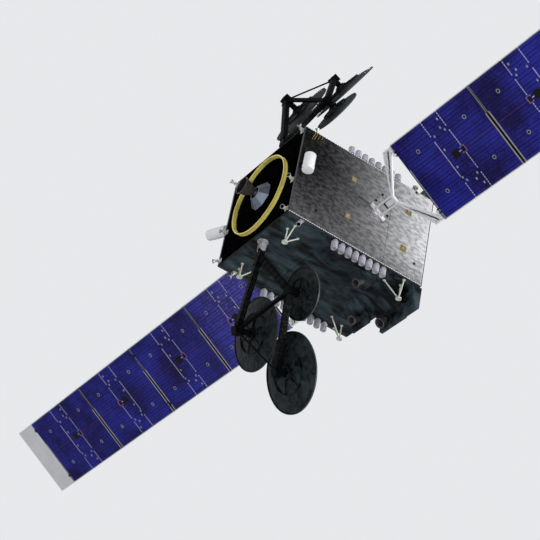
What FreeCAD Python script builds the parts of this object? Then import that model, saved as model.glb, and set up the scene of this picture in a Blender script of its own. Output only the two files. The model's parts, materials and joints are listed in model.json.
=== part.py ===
import FreeCAD, Part
import math
import os

os.makedirs("parts", exist_ok=True)
V = FreeCAD.Vector

# Communications satellite. +Z points to the earth, X runs across the dish sides and Y along the
# wings. The origin is the centre of the separation ring's lower face. All sizes in millimetres.

# Bus: two radiators, two decks and two side panels round a central tube
BUS_X = 2030.0
BUS_Y = 2340.0
BUS_Z = 3010.0
WALL = 30.0
RADIATOR_WALL = 40.0
CORE_R = 560.0

# Separation ring under the aft deck
RING_R = 833.0
RING_HEIGHT = 85.0
RING_WALL = 14.0
RING_LIP = 26.0
RING_LIP_HEIGHT = 24.0

# Main engine and its faceted heat shield
ENGINE_FLANGE_R = 85.0
ENGINE_CHAMBER_R = 58.0
ENGINE_THROAT_R = 34.0
ENGINE_EXIT_R = 162.0
ENGINE_CHAMBER_LENGTH = 105.0
ENGINE_THROAT_DROP = 165.0
ENGINE_DROP = 450.0
ENGINE_WALL = 7.0
ENGINE_BAND = 8.0
BELL_SHARES = ((0, 0), (0.42, 0.24), (0.75, 0.56), (1, 1))
SHIELD_SIDES = 8
SHIELD_BASE_R = 300.0
SHIELD_TOP_R = 135.0
SHIELD_HEIGHT = 150.0
SHIELD_WALL = 8.0

# Small thrusters: foot plate, valve and nozzle
THRUSTER_FOOT = 90.0
THRUSTER_FOOT_T = 14.0
THRUSTER_VALVE_R = 24.0
THRUSTER_VALVE_LENGTH = 62.0
THRUSTER_EXIT_R = 42.0
THRUSTER_NOZZLE_LENGTH = 84.0
THRUSTER_WALL = 3.0
THRUSTER_COLLAR = 8.0
THRUSTER_INSET = 88.0
THRUSTER_MID_X = 250.0
THRUST_CORNER_SHARE = 0.45
THRUST_MIDDLE_SHARE = 0.5
THRUST_SIDE_SHARES = (1, 0.35, -0.5)
SIDE_THRUSTER_Z = 330.0

# Collector cups in a row along each long edge of the side panels: the first one's place above the
# aft deck, the space kept before the dish rest's feet, and the gap from one cup to the next
NORTH_CUP_Z = 1090.0
NORTH_CUP_SPACE = 330.0
SOUTH_CUP_Z = 1026.0
SOUTH_CUP_SPACE = 90.0
CUP_GAP = 24.0
CUP_R = 66.0
CUP_TIP_R = 58.0
CUP_NECK_R = 44.0
CUP_NECK = 40.0
CUP_BAND = 14.0
CUP_GROOVE = 5.0
CUP_RECESS = 6.0
CUP_LENGTH = 195.0
CUP_EDGE = 12.0

# Feed tower: a wedge behind each horn and one at the earth end, each with its span along Y, its
# top above the aft deck, the reach and height of its lip, the reach of its face and its foot
TOWER_A_Y = (-760.0, -20.0)
TOWER_A_TOP = 3060.0
TOWER_A_REACH = 485.0
TOWER_A_LIP = 75.0
TOWER_A_FACE = 285.0
TOWER_A_FOOT = 610.0
TOWER_B_Y = (-20.0, 500.0)
TOWER_B_TOP = 2760.0
TOWER_B_REACH = 385.0
TOWER_B_LIP = 70.0
TOWER_B_FACE = 225.0
TOWER_B_FOOT = 450.0
TOWER_C_Y = (-800.0, -440.0)
TOWER_C_TOP = 2240.0
TOWER_C_REACH = 165.0
TOWER_C_LIP = 40.0
TOWER_C_FACE = 165.0
TOWER_C_FOOT = 370.0
TOWER_END_Y = (-1120.0, -760.0)
TOWER_END_TOP = 3060.0
TOWER_END_REACH = 460.0
TOWER_END_LIP = 95.0
TOWER_END_FACE = 460.0
TOWER_END_FOOT = 230.0

# Horns: mouth centres on the east side, from the aft deck, and their mouth radii
HORN_A = (1455.0, -190.0, 2850.0)
HORN_B = (1345.0, 260.0, 2510.0)
HORN_C = (1255.0, -620.0, 1940.0)
HORN_A_R = 92.0
HORN_B_R = 82.0
HORN_C_R = 72.0
HORN_LENGTH = 270.0
HORN_HOLLOW = 165.0
HORN_THROAT_SHARE = 0.5
HORN_WALL = 6.0
HORN_LIP = 12.0
HORN_RING_SHARES = (0.14, 0.24)

# Dishes on the east side: rim centres from the aft deck, radii and depth
DISH_A = (3390.0, -130.0, 1260.0)
DISH_B = (2670.0, 300.0, 640.0)
DISH_C = (2190.0, -740.0, 830.0)
DISH_A_R = 725.0
DISH_B_R = 675.0
DISH_C_R = 480.0
DISH_DEPTH_SHARE = 0.14
DISH_WALL = 12.0
DISH_RIM = 14.0
DISH_RIM_HEIGHT = 26.0
DISH_HUB_R = 120.0
DISH_HUB_HEIGHT = 46.0
DISH_RING_SHARE = 0.56
DISH_RING_T = 16.0
DISH_RIB_T = 10.0
DISH_RIB_COUNT = 6
DISH_RIB_DEPTH = 34.0
DISH_SEAT = 3.0

# Boom: points on it lie behind the dishes by these lengths
BOOM_A_BACK = 330.0
BOOM_B_BACK = 420.0
BOOM_C_BACK = 300.0
BOOM_BAR = 104.0
BOOM_BRACE = 66.0
BOOM_ROD_R = 16.0
BOOM_KNOT = 150.0
BOOM_STEM_R = 58.0
BOOM_FLANGE_R = 96.0
BOOM_FLANGE_T = 18.0
BOOM_COLLAR = 10.0
BOOM_COLLAR_LENGTH = 70.0
BOOM_COLLAR_START = 130.0
BOOM_HINGE = (1205.0, -90.0, 180.0)
BOOM_DRUM_R = 46.0
BOOM_DRUM_LENGTH = 90.0
BOOM_PIN_R = 20.0
BOOM_PIN_GAP = 0.3
BOOM_NECK = 150.0
BOOM_NECK_HEIGHT = 70.0
EAR_R = 52.0
EAR_T = 18.0
EAR_GAP = 3.0
ROOT_FLANGE_R = 105.0
ROOT_FLANGE_T = 22.0
ROOT_POST_R = 72.0

# Rests for the stowed dishes: pads on a post and two rods
REST_REACH = 305.0
REST_PAD_R = 56.0
REST_PAD_T = 26.0
REST_ROD_R = 13.0
REST_FOOT_R = 30.0
REST_FOOT_T = 16.0
REST_SEAT_R = 40.0
REST_SEAT_DEPTH = 8.0
REST_AFT_Y = 735.0
REST_AFT_Z = 277.0
REST_EARTH_Y = 920.0
REST_EARTH_Z = 2715.0
REST_SPREAD_Y = 170.0
REST_SPREAD_Z = 50.0
REST_BRACE_Y = 100.0
REST_BRACE_Z = 300.0

# White baffles at the aft end of the radiators, each with a liner that stands out at its mouth
BAFFLE_R = 108.0
BAFFLE_LENGTH = 470.0
BAFFLE_LINER = 110.0
BAFFLE_WALL = 6.0
BAFFLE_END = 18.0
BAFFLE_RIB = 7.0
BAFFLE_RIB_WIDTH = 16.0
BAFFLE_RIB_PLACE = 75.0
BAFFLE_X = -170.0
BAFFLE_Z = 140.0
BAFFLE_STAND = 26.0
BAFFLE_FOOT = 150.0
SOUTH_BAFFLE_X = 100.0
SOUTH_BAFFLE_Z = 70.0
SOUTH_BAFFLE_LEAN = 15.0
SOUTH_BAFFLE_SIDE_SHARE = 0.6
SOUTH_BAFFLE_STAND = 64.0

# Wings: a drive on each radiator, a folding yoke, four panels and a tip flap
WING_Z = 1796.0
WING_TURN = 32.0
WING_BASE = 1235.0
PANEL_PITCH = 2198.0
PANEL_WIDTH = 1668.0
PANEL_GAP = 20.0
PANEL_T = 25.0
PANEL_COUNT = 4
STACK_GAP = 15.0
FLAP_LENGTH = 566.0
FLAP_T = 20.0
REST_ACROSS = 435.0
REST_ALONG = 645.0
BOSS_R = 32.0
BOSS_RISE = 4.0

# Drive, hub and root hinge
DRIVE_R = 125.0
DRIVE_HEIGHT = 30.0
DRIVE_FLANGE_R = 160.0
DRIVE_FLANGE_T = 10.0
DRIVE_LUGS = 8
DRIVE_LUG_R = 14.0
SHAFT_R = 62.0
SHAFT_GAP = 0.3
HUB_LIFT = 5.0
HUB_BAR = 380.0
HUB_BAR_T = 25.0
HUB_BAR_WIDTH = 84.0
ROOT_PIN_R = 9.0
ROOT_EAR_T = 9.0
ROOT_EAR_R = 24.0
ROOT_CLEAR = 6.0
RAIL_SIDE = 84.0
RAIL_WIDTH = 40.0
RAIL_T = 50.0
RAIL_LENGTH = 500.0
YOKE_PLATE_START = 170.0
YOKE_PLATE_T = 6.0
YOKE_WEB = 18.0
YOKE_ARM = 32.0
YOKE_BLOCK = 60.0
YOKE_CORNER = 780.0
YOKE_END = 24.0
YOKE_SPREAD = 190.0
YOKE_FOOT = 26.0

# Panel hinges: knuckles on a pin, beside the plate on alternate faces
HINGE_ACROSS = 640.0
KNUCKLE_R = 6.0
KNUCKLE_PIN_R = 3.0
KNUCKLE_GAP = 0.3
KNUCKLE_LENGTH = 50.0
STRAP_T = 4.0
STRAP_LENGTH = 60.0

# Seats of the folded wing on the radiators
ARRAY_REST_SIDE = 120.0
ARRAY_REST_WALL = 22.0
ARRAY_REST_BASE = 6.0
ARRAY_REST_CUP_R = 26.0
ARRAY_REST_CUP_BORE = 14.0
ARRAY_REST_T = 22.0

CUT = 2.0
DECK = RING_HEIGHT
TOP = DECK + BUS_Z
EAST = BUS_X / 2
NORTH = BUS_Y / 2
FOLD_Y = NORTH + DRIVE_HEIGHT + HUB_LIFT + HUB_BAR_T + ROOT_CLEAR + RAIL_T / 2
YOKE_LENGTH = NORTH + WING_BASE - FOLD_Y


def box(x0, x1, y0, y1, z0, z1):
    """Block between two corners."""
    return Part.makeBox(x1 - x0, y1 - y0, z1 - z0, V(x0, y0, z0))


def rod(start, end, radius):
    """Round bar from one point to another."""
    line = end - start
    return Part.makeCylinder(radius, line.Length, start, line)


def frame_at(origin, z_dir, x_hint):
    """Placement whose Z runs along z_dir and whose X lies nearest to x_hint."""
    z_axis = V(z_dir).normalize()
    y_axis = z_axis.cross(x_hint).normalize()
    x_axis = y_axis.cross(z_axis)
    return FreeCAD.Placement(origin, FreeCAD.Rotation(x_axis, y_axis, z_axis, "ZXY"))


def bar(start, end, width, depth, hint):
    """Rectangular bar from start to end; its width lies nearest to hint."""
    line = end - start
    solid = Part.makeBox(width, depth, line.Length, V(-width / 2, -depth / 2, 0))
    solid.Placement = frame_at(start, line, hint)
    return solid


def fused(shapes):
    """One clean solid of several that meet."""
    return shapes[0].multiFuse(shapes[1:]).removeSplitter()


def revolved(points, origin, direction):
    """Closed outline of (radius, height) points turned about an axis."""
    corners = [V(radius, 0, height) for radius, height in points]
    face = Part.Face(Part.makePolygon(corners + corners[:1]))
    solid = face.revolve(V(0, 0, 0), V(0, 0, 1), 360)
    hint = V(0, 1, 0) if abs(direction.x) > abs(direction.y) else V(1, 0, 0)
    solid.Placement = frame_at(origin, direction, hint)
    return solid


def mirrored_x(shape):
    return shape.mirror(V(0, 0, 0), V(1, 0, 0))


def mirrored_y(shape):
    return shape.mirror(V(0, 0, 0), V(0, 1, 0))


def above_deck(place):
    """Point given from the aft deck."""
    return V(place[0], place[1], DECK + place[2])


def save(name, shape):
    shape.exportStep(f"parts/{name}.step")


# Bus walls
def build_bus():
    inner_y = NORTH - RADIATOR_WALL
    save("aft_deck", box(-EAST, EAST, -inner_y, inner_y, DECK, DECK + WALL))
    save("earth_deck", box(-EAST, EAST, -inner_y, inner_y, TOP - WALL, TOP))
    radiator = box(-EAST, EAST, -NORTH, -inner_y, DECK, TOP)
    save("north_radiator", radiator)
    save("south_radiator", mirrored_y(radiator))
    side = box(EAST - WALL, EAST, -inner_y, inner_y, DECK + WALL, TOP - WALL)
    save("east_panel", side)
    save("west_panel", mirrored_x(side))
    height = BUS_Z - 2 * WALL
    save("core_tube", Part.makeCylinder(CORE_R, height, V(0, 0, DECK + WALL)))


# Ring: a lip for the clamp band, a thin web and a flange on the deck
def build_ring():
    inner = RING_R - RING_LIP
    web_out = inner + RING_WALL
    flange = RING_HEIGHT - RING_LIP_HEIGHT
    outline = [(inner, 0), (RING_R, 0), (RING_R, RING_LIP_HEIGHT), (web_out, RING_LIP_HEIGHT),
               (web_out, flange), (RING_R, flange), (RING_R, RING_HEIGHT), (inner, RING_HEIGHT)]
    save("separation_ring", revolved(outline, V(0, 0, 0), V(0, 0, 1)))


# Engine: flange, chamber, throat and a curved bell that opens away from the earth
def build_engine():
    def spline(points):
        curve = Part.BSplineCurve()
        curve.interpolate([V(radius, 0, height) for radius, height in points])
        return curve.toShape()

    bell = ENGINE_DROP - ENGINE_THROAT_DROP
    rise = ENGINE_EXIT_R - ENGINE_THROAT_R
    inner = [(ENGINE_THROAT_R + rise * across, -ENGINE_THROAT_DROP - bell * down)
             for across, down in BELL_SHARES]
    outer = [(radius + ENGINE_WALL, height) for radius, height in inner]
    lines = [(0, -ENGINE_THROAT_DROP), (0, 0), (ENGINE_FLANGE_R, 0),
             (ENGINE_FLANGE_R, -ENGINE_WALL * 2), (ENGINE_CHAMBER_R, -ENGINE_WALL * 2),
             (ENGINE_CHAMBER_R, -ENGINE_CHAMBER_LENGTH), outer[0]]
    edges = [Part.makeLine(V(a[0], 0, a[1]), V(b[0], 0, b[1])) for a, b in zip(lines, lines[1:])]
    edges += [spline(outer), Part.makeLine(V(outer[-1][0], 0, outer[-1][1]),
                                           V(inner[-1][0], 0, inner[-1][1]))]
    edges += [spline(inner), Part.makeLine(V(inner[0][0], 0, inner[0][1]),
                                           V(lines[0][0], 0, lines[0][1]))]
    face = Part.Face(Part.Wire(Part.__sortEdges__(edges)))
    engine = face.revolve(V(0, 0, 0), V(0, 0, 1), 360)
    bands = [engine]
    for radius, height in (inner[-2], (inner[-1][0], inner[-1][1] + ENGINE_BAND / 2)):
        band_r = radius + ENGINE_WALL + ENGINE_BAND
        low = V(0, 0, height - ENGINE_BAND / 2)
        band = Part.makeCylinder(band_r, ENGINE_BAND, low)
        bands.append(band.cut(Part.makeCylinder(radius + ENGINE_WALL / 2, ENGINE_BAND, low)))
    engine = fused(bands)
    engine.translate(V(0, 0, DECK))
    save("main_engine", engine)

    def facet_ring(radius, height):
        corners = []
        for k in range(SHIELD_SIDES + 1):
            turn = 2 * math.pi * (k + 0.5) / SHIELD_SIDES
            corners.append(V(radius * math.cos(turn), radius * math.sin(turn), height))
        return Part.makePolygon(corners)

    def frustum(base, top):
        return Part.makeLoft([facet_ring(base, DECK), facet_ring(top, DECK - SHIELD_HEIGHT)], True)

    shield = frustum(SHIELD_BASE_R, SHIELD_TOP_R)
    shield = shield.cut(frustum(SHIELD_BASE_R - SHIELD_WALL, SHIELD_TOP_R - SHIELD_WALL))
    save("engine_shield", shield)


# Thrusters: a foot on the wall, then a valve and a nozzle along the thrust line
def thruster(place, wall_normal, aim):
    aim = V(aim).normalize()
    hint = V(0, 0, 1) if abs(wall_normal.z) < 0.5 else V(1, 0, 0)
    foot = bar(place, place + wall_normal * THRUSTER_FOOT_T, THRUSTER_FOOT, THRUSTER_FOOT, hint)
    start = place + wall_normal * (THRUSTER_FOOT_T / 2)
    joint = start + aim * THRUSTER_VALVE_LENGTH
    valve = rod(start + aim * (THRUSTER_FOOT_T / 2), joint, THRUSTER_VALVE_R)
    collar = rod(joint - aim * THRUSTER_COLLAR, joint, THRUSTER_VALVE_R + THRUSTER_COLLAR)
    throat = THRUSTER_VALVE_R / 2
    cone = Part.makeCone(throat, THRUSTER_EXIT_R, THRUSTER_NOZZLE_LENGTH, joint, aim)
    hollow = Part.makeCone(throat - THRUSTER_WALL, THRUSTER_EXIT_R - THRUSTER_WALL,
                           THRUSTER_NOZZLE_LENGTH, joint + aim * THRUSTER_WALL, aim)
    return fused([foot, valve, collar, cone]).cut(hollow)


def build_thrusters():
    pieces = []
    for side_x in (1, -1):
        for side_y in (1, -1):
            corner = V(side_x * (EAST - THRUSTER_INSET), side_y * (NORTH - THRUSTER_INSET), DECK)
            lean_x, lean_y = side_x * THRUST_CORNER_SHARE, side_y * THRUST_CORNER_SHARE
            pieces.append(thruster(corner, V(0, 0, -1), V(lean_x, lean_y, -1)))
            wall = V(side_x * EAST, side_y * (NORTH - THRUSTER_INSET), DECK + SIDE_THRUSTER_Z)
            out, across, down = THRUST_SIDE_SHARES
            pieces.append(thruster(wall, V(side_x, 0, 0), V(side_x * out, side_y * across, down)))
    for side_y in (1, -1):
        middle = V(THRUSTER_MID_X, side_y * (NORTH - THRUSTER_INSET), DECK)
        pieces.append(thruster(middle, V(0, 0, -1), V(0, side_y * THRUST_MIDDLE_SHARE, -1)))
    save("thrusters", Part.makeCompound(pieces))


# Collectors: a neck, a wide foot band, a tapered cup with a groove below its end band, in as
# many cups as the row holds before the dish rest
def cup_row(first_z, space):
    pitch = 2 * CUP_R + CUP_GAP
    last_z = REST_EARTH_Z - REST_SPREAD_Z - REST_FOOT_R - CUP_R - space
    count = int((last_z - first_z) / pitch) + 1
    body_r, tip_r = CUP_R - CUP_GROOVE, CUP_TIP_R - CUP_GROOVE
    shoulder = CUP_NECK + CUP_BAND
    end_band = CUP_LENGTH - CUP_BAND
    outline = [(0, 0), (CUP_NECK_R, 0), (CUP_NECK_R, CUP_NECK), (CUP_R, CUP_NECK),
               (CUP_R, shoulder), (body_r, shoulder), (tip_r, end_band), (CUP_TIP_R, end_band),
               (CUP_TIP_R, CUP_LENGTH - CUP_GROOVE), (tip_r, CUP_LENGTH),
               (CUP_NECK_R, CUP_LENGTH), (CUP_NECK_R - CUP_GROOVE, CUP_LENGTH - CUP_RECESS),
               (0, CUP_LENGTH - CUP_RECESS)]
    cups = []
    for k in range(count):
        place = V(EAST, -(NORTH - CUP_R - CUP_EDGE), DECK + first_z + k * pitch)
        cups.append(revolved(outline, place, V(1, 0, 0)))
    return Part.makeCompound(cups)


def build_collectors():
    north_row = cup_row(NORTH_CUP_Z, NORTH_CUP_SPACE)
    south_row = mirrored_y(cup_row(SOUTH_CUP_Z, SOUTH_CUP_SPACE))
    save("collectors_ne", north_row)
    save("collectors_se", south_row)
    save("collectors_nw", mirrored_x(north_row))
    save("collectors_sw", mirrored_x(south_row))


# Feed tower: wedges on the side panel, under a shelf, whose slanted faces carry the horns
def wedge(span_y, top, reach, lip, face, foot):
    profile = [(EAST, top), (EAST + reach, top), (EAST + reach, top - lip),
               (EAST + face, top - lip), (EAST, top - foot)]
    if face == reach:
        del profile[3]
    corners = [V(x, span_y[0], DECK + z) for x, z in profile]
    outline = Part.Face(Part.makePolygon(corners + corners[:1]))
    return outline.extrude(V(0, span_y[1] - span_y[0], 0))


def tower_set():
    return [(TOWER_END_Y, TOWER_END_TOP, TOWER_END_REACH, TOWER_END_LIP, TOWER_END_FACE,
             TOWER_END_FOOT),
            (TOWER_A_Y, TOWER_A_TOP, TOWER_A_REACH, TOWER_A_LIP, TOWER_A_FACE, TOWER_A_FOOT),
            (TOWER_B_Y, TOWER_B_TOP, TOWER_B_REACH, TOWER_B_LIP, TOWER_B_FACE, TOWER_B_FOOT),
            (TOWER_C_Y, TOWER_C_TOP, TOWER_C_REACH, TOWER_C_LIP, TOWER_C_FACE, TOWER_C_FOOT)]


def horn_set():
    return [(HORN_A, HORN_A_R, DISH_A), (HORN_B, HORN_B_R, DISH_B), (HORN_C, HORN_C_R, DISH_C)]


def build_feeds():
    tower = fused([wedge(*sizes) for sizes in tower_set()])
    horns = []
    for mouth, radius, dish in horn_set():
        mouth = above_deck(mouth)
        back = (mouth - above_deck(dish)).normalize()
        throat = radius * HORN_THROAT_SHARE
        outline = [(0, 0), (radius - HORN_WALL, 0), (radius + HORN_LIP, 0),
                   (radius + HORN_LIP, HORN_WALL * 2), (radius, HORN_WALL * 2)]
        for share in HORN_RING_SHARES:
            ring_z = HORN_LENGTH * share
            ring_r = radius + (throat - radius) * share
            outline += [(ring_r, ring_z), (ring_r + HORN_LIP / 2, ring_z),
                        (ring_r + HORN_LIP / 2, ring_z + HORN_WALL), (ring_r, ring_z + HORN_WALL)]
        outline += [(throat, HORN_LENGTH), (0, HORN_LENGTH)]
        outer = revolved(outline, mouth, back)
        hollow = Part.makeCone(radius - HORN_WALL, throat - HORN_WALL, HORN_HOLLOW, mouth, back)
        tower = tower.cut(outer)
        horns.append(outer.cut(hollow))
    save("feed_tower_east", tower)
    save("feed_tower_west", mirrored_x(tower))
    group = Part.makeCompound(horns)
    save("feed_horns_east", group)
    save("feed_horns_west", mirrored_x(group))


# Dishes: each face halves the angle between the earth and its horn
def face_direction(dish, horn):
    to_horn = (V(*horn) - V(*dish)).normalize()
    return (to_horn + V(0, 0, 1)).normalize()


def dish_ribs(radius, depth):
    """Stiffening ring and radial ribs on a dish's back, let a little into its wall."""
    def back(at_r):
        return depth * (at_r / radius) ** 2 - depth - DISH_WALL

    ring_r = radius * DISH_RING_SHARE
    seat = back(ring_r) + DISH_SEAT
    foot = back(ring_r) - DISH_RIB_DEPTH
    ring = Part.makeCylinder(ring_r + DISH_RING_T / 2, seat - foot, V(0, 0, foot))
    ring = ring.cut(Part.makeCylinder(ring_r - DISH_RING_T / 2, seat - foot, V(0, 0, foot)))
    pieces = [ring]
    start = DISH_HUB_R / 2
    outline = [V(start, 0, back(start) + DISH_SEAT), V(ring_r, 0, seat), V(ring_r, 0, foot),
               V(start, 0, back(start) - DISH_RIB_DEPTH)]
    rib = Part.Face(Part.makePolygon(outline + outline[:1])).extrude(V(0, DISH_RIB_T, 0))
    rib.translate(V(0, -DISH_RIB_T / 2, 0))
    for k in range(DISH_RIB_COUNT):
        pieces.append(rib.rotated(V(0, 0, 0), V(0, 0, 1), 360 * k / DISH_RIB_COUNT))
    return pieces


def dish_solid(centre, face_dir, radius):
    depth = radius * DISH_DEPTH_SHARE
    middle = radius / 2
    middle_z = depth * (middle / radius) ** 2 - depth
    inner = Part.Arc(V(0, 0, -depth), V(middle, 0, middle_z), V(radius, 0, 0)).toShape()
    outer = Part.Arc(V(0, 0, -depth - DISH_WALL), V(middle, 0, middle_z - DISH_WALL),
                     V(radius, 0, -DISH_WALL)).toShape()
    rim_r = radius + DISH_RIM
    edges = [inner, Part.makeLine(V(radius, 0, 0), V(rim_r, 0, 0)),
             Part.makeLine(V(rim_r, 0, 0), V(rim_r, 0, -DISH_RIM_HEIGHT)),
             Part.makeLine(V(rim_r, 0, -DISH_RIM_HEIGHT), V(radius, 0, -DISH_RIM_HEIGHT)),
             Part.makeLine(V(radius, 0, -DISH_RIM_HEIGHT), V(radius, 0, -DISH_WALL)), outer,
             Part.makeLine(V(0, 0, -depth - DISH_WALL), V(0, 0, -depth))]
    shell = Part.Face(Part.Wire(edges)).revolve(V(0, 0, 0), V(0, 0, 1), 360)
    hub = Part.makeCylinder(DISH_HUB_R, DISH_HUB_HEIGHT + DISH_WALL / 2,
                            V(0, 0, -depth - DISH_WALL - DISH_HUB_HEIGHT))
    solid = fused([shell, hub] + dish_ribs(radius, depth))
    solid.Placement = frame_at(centre, face_dir, V(0, 1, 0))
    return solid


def dish_set():
    return [("dish_a", DISH_A, HORN_A, DISH_A_R, BOOM_A_BACK),
            ("dish_b", DISH_B, HORN_B, DISH_B_R, BOOM_B_BACK),
            ("dish_c", DISH_C, HORN_C, DISH_C_R, BOOM_C_BACK)]


def build_dishes():
    knots = {}
    for name, dish, horn, radius, back in dish_set():
        facing = face_direction(dish, horn)
        centre = above_deck(dish)
        solid = dish_solid(centre, facing, radius)
        save(f"{name}_east", solid)
        save(f"{name}_west", mirrored_x(solid))
        seat = centre - facing * (radius * DISH_DEPTH_SHARE + DISH_WALL + DISH_HUB_HEIGHT)
        knots[name] = (seat, centre - facing * back, facing)
    return knots


# Boom: a drum on the hinge pin, two main bars, an outer bar, braces and a stem to each dish
def collared_bar(start, end):
    """Square bar with a collar near each end."""
    up = V(0, 0, 1)
    line = (end - start).normalize()
    wide = BOOM_BAR + BOOM_COLLAR * 2
    pieces = [bar(start, end, BOOM_BAR, BOOM_BAR, up)]
    for foot, way in ((start, line), (end, line * -1)):
        near = foot + way * BOOM_COLLAR_START
        pieces.append(bar(near, near + way * BOOM_COLLAR_LENGTH, wide, wide, up))
    return pieces


def build_boom(knots):
    hinge = above_deck(BOOM_HINGE)
    along = V(0, 1, 0)
    drum_start = hinge - along * (BOOM_DRUM_LENGTH / 2)
    neck_end = hinge + V(BOOM_NECK, 0, 0)
    drum = Part.makeCylinder(BOOM_DRUM_R, BOOM_DRUM_LENGTH, drum_start, along)
    neck = bar(hinge, neck_end, BOOM_DRUM_LENGTH, BOOM_NECK_HEIGHT, along)
    knot_a, knot_b, knot_c = (knots[name][1] for name in ("dish_a", "dish_b", "dish_c"))
    up = V(0, 0, 1)
    pieces = [drum, neck,
              bar(neck_end - V(BOOM_BAR / 2, 0, 0), neck_end + V(BOOM_BAR / 2, 0, 0),
                  BOOM_KNOT, BOOM_BAR, along),
              bar(knot_c, knot_b, BOOM_BRACE, BOOM_BRACE, up),
              rod(knot_b, knot_a, BOOM_ROD_R)]
    for start, end in ((neck_end, knot_b), (neck_end, knot_c), (knot_c, knot_a)):
        pieces += collared_bar(start, end)
    for seat, knot, facing in knots.values():
        start = knot - facing * (BOOM_KNOT / 2)
        pieces.append(bar(start, start + facing * BOOM_KNOT, BOOM_KNOT, BOOM_KNOT, along))
        pieces.append(rod(knot, seat, BOOM_STEM_R))
        pieces.append(rod(seat - facing * BOOM_FLANGE_T, seat, BOOM_FLANGE_R))
    boom = fused(pieces)
    bore = Part.makeCylinder(BOOM_PIN_R + BOOM_PIN_GAP, BOOM_DRUM_LENGTH + CUT * 2,
                             drum_start - along * CUT, along)
    boom = boom.cut(bore)
    save("boom_east", boom)
    save("boom_west", mirrored_x(boom))

    foot = V(EAST, hinge.y, hinge.z)
    half = BOOM_DRUM_LENGTH / 2 + EAR_GAP
    cheek = V(EAST + ROOT_FLANGE_T * 2, hinge.y, hinge.z)
    root = [rod(foot, foot + V(ROOT_FLANGE_T, 0, 0), ROOT_FLANGE_R),
            rod(foot, cheek, ROOT_POST_R),
            rod(hinge - along * (half + EAR_T), hinge + along * (half + EAR_T), BOOM_PIN_R)]
    for side in (1, -1):
        start = hinge + along * (half if side > 0 else -half - EAR_T)
        root.append(Part.makeCylinder(EAR_R, EAR_T, start, along))
        middle = along * (side * (half + EAR_T / 2))
        root.append(bar(foot + middle, hinge + middle, EAR_T, EAR_R * 2, along))
    root = fused(root)
    save("boom_root_east", root)
    save("boom_root_west", mirrored_x(root))


# Rests: pads that carry the folded boom's dishes
def rest(y, z, inward):
    pad_back = V(EAST + REST_REACH, y, DECK + z)
    outward = 1 if y > 0 else -1
    pieces = [rod(pad_back, pad_back + V(REST_PAD_T, 0, 0), REST_PAD_R)]
    feet = [(0, 0), (outward * REST_SPREAD_Y, inward * REST_SPREAD_Z),
            (-outward * REST_BRACE_Y, inward * REST_BRACE_Z)]
    for dy, dz in feet:
        foot = V(EAST, y + dy, DECK + z + dz)
        pieces.append(rod(foot, foot + V(REST_FOOT_T, 0, 0), REST_FOOT_R))
        pieces.append(rod(foot + V(REST_ROD_R, 0, 0), pad_back + V(REST_PAD_T / 2, 0, 0),
                          REST_ROD_R))
    pad_front = pad_back + V(REST_PAD_T, 0, 0)
    seat = rod(pad_front - V(REST_SEAT_DEPTH, 0, 0), pad_front + V(CUT, 0, 0), REST_SEAT_R)
    return fused(pieces).cut(seat)


def build_rests():
    rests = []
    for side in (1, -1):
        rests.append(rest(side * REST_AFT_Y, REST_AFT_Z, 1))
        rests.append(rest(side * REST_EARTH_Y, REST_EARTH_Z, -1))
    group = Part.makeCompound(rests)
    save("dish_rests_east", group)
    save("dish_rests_west", mirrored_x(group))


# Baffles: open tubes with a rib near the closed end, on a foot
def baffle(centre, direction, foot_wall):
    direction = V(direction).normalize()
    start = centre - direction * (BAFFLE_LENGTH / 2)
    tube_end = BAFFLE_LENGTH - BAFFLE_LINER
    liner_r = BAFFLE_R - BAFFLE_WALL / 2
    inner_r = BAFFLE_R - BAFFLE_WALL
    outline = [(0, 0), (BAFFLE_R, 0), (BAFFLE_R, tube_end), (liner_r, tube_end),
               (liner_r, BAFFLE_LENGTH), (inner_r, BAFFLE_LENGTH), (inner_r, BAFFLE_END),
               (0, BAFFLE_END)]
    tube = revolved(outline, start, direction)
    rib_start = start + direction * BAFFLE_RIB_PLACE
    rib = rod(rib_start, rib_start + direction * BAFFLE_RIB_WIDTH, BAFFLE_R + BAFFLE_RIB)
    rib = rib.cut(rod(rib_start, rib_start + direction * BAFFLE_RIB_WIDTH,
                      BAFFLE_R - BAFFLE_WALL / 2))
    stand = bar(foot_wall, centre, BAFFLE_FOOT, BAFFLE_FOOT / 2, V(1, 0, 0))
    stand = stand.cut(rod(start, start + direction * BAFFLE_LENGTH, BAFFLE_R - BAFFLE_WALL / 2))
    return fused([tube, rib, stand])


def build_baffles():
    reach = NORTH + BAFFLE_STAND + BAFFLE_R
    centre = above_deck((BAFFLE_X, -reach, BAFFLE_Z))
    foot = above_deck((BAFFLE_X, -NORTH, BAFFLE_Z))
    save("baffle_north", baffle(centre, V(-1, 0, 0), foot))
    lean = math.radians(SOUTH_BAFFLE_LEAN)
    aim = V(-math.sin(lean) * SOUTH_BAFFLE_SIDE_SHARE, math.cos(lean), -math.sin(lean))
    foot = above_deck((SOUTH_BAFFLE_X, NORTH, SOUTH_BAFFLE_Z))
    centre = foot + aim.normalize() * (SOUTH_BAFFLE_STAND + BAFFLE_LENGTH / 2)
    south = baffle(centre, aim, foot)
    below = box(-EAST, EAST, NORTH - BAFFLE_FOOT, NORTH, DECK - BUS_Z, TOP)
    save("baffle_south", south.cut(below))


# Wing axes: WIDE lies across a panel, THICK is the way its cells face, both turned about Y
TURN = math.radians(WING_TURN)
WIDE = V(math.sin(TURN), 0, math.cos(TURN))
THICK = V(math.cos(TURN), 0, -math.sin(TURN))


def wing_point(out, across, thick):
    """Point of the north wing: distance out from the bus centre, across and through a panel."""
    return V(0, -out, DECK + WING_Z) + WIDE * across + THICK * thick


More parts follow.
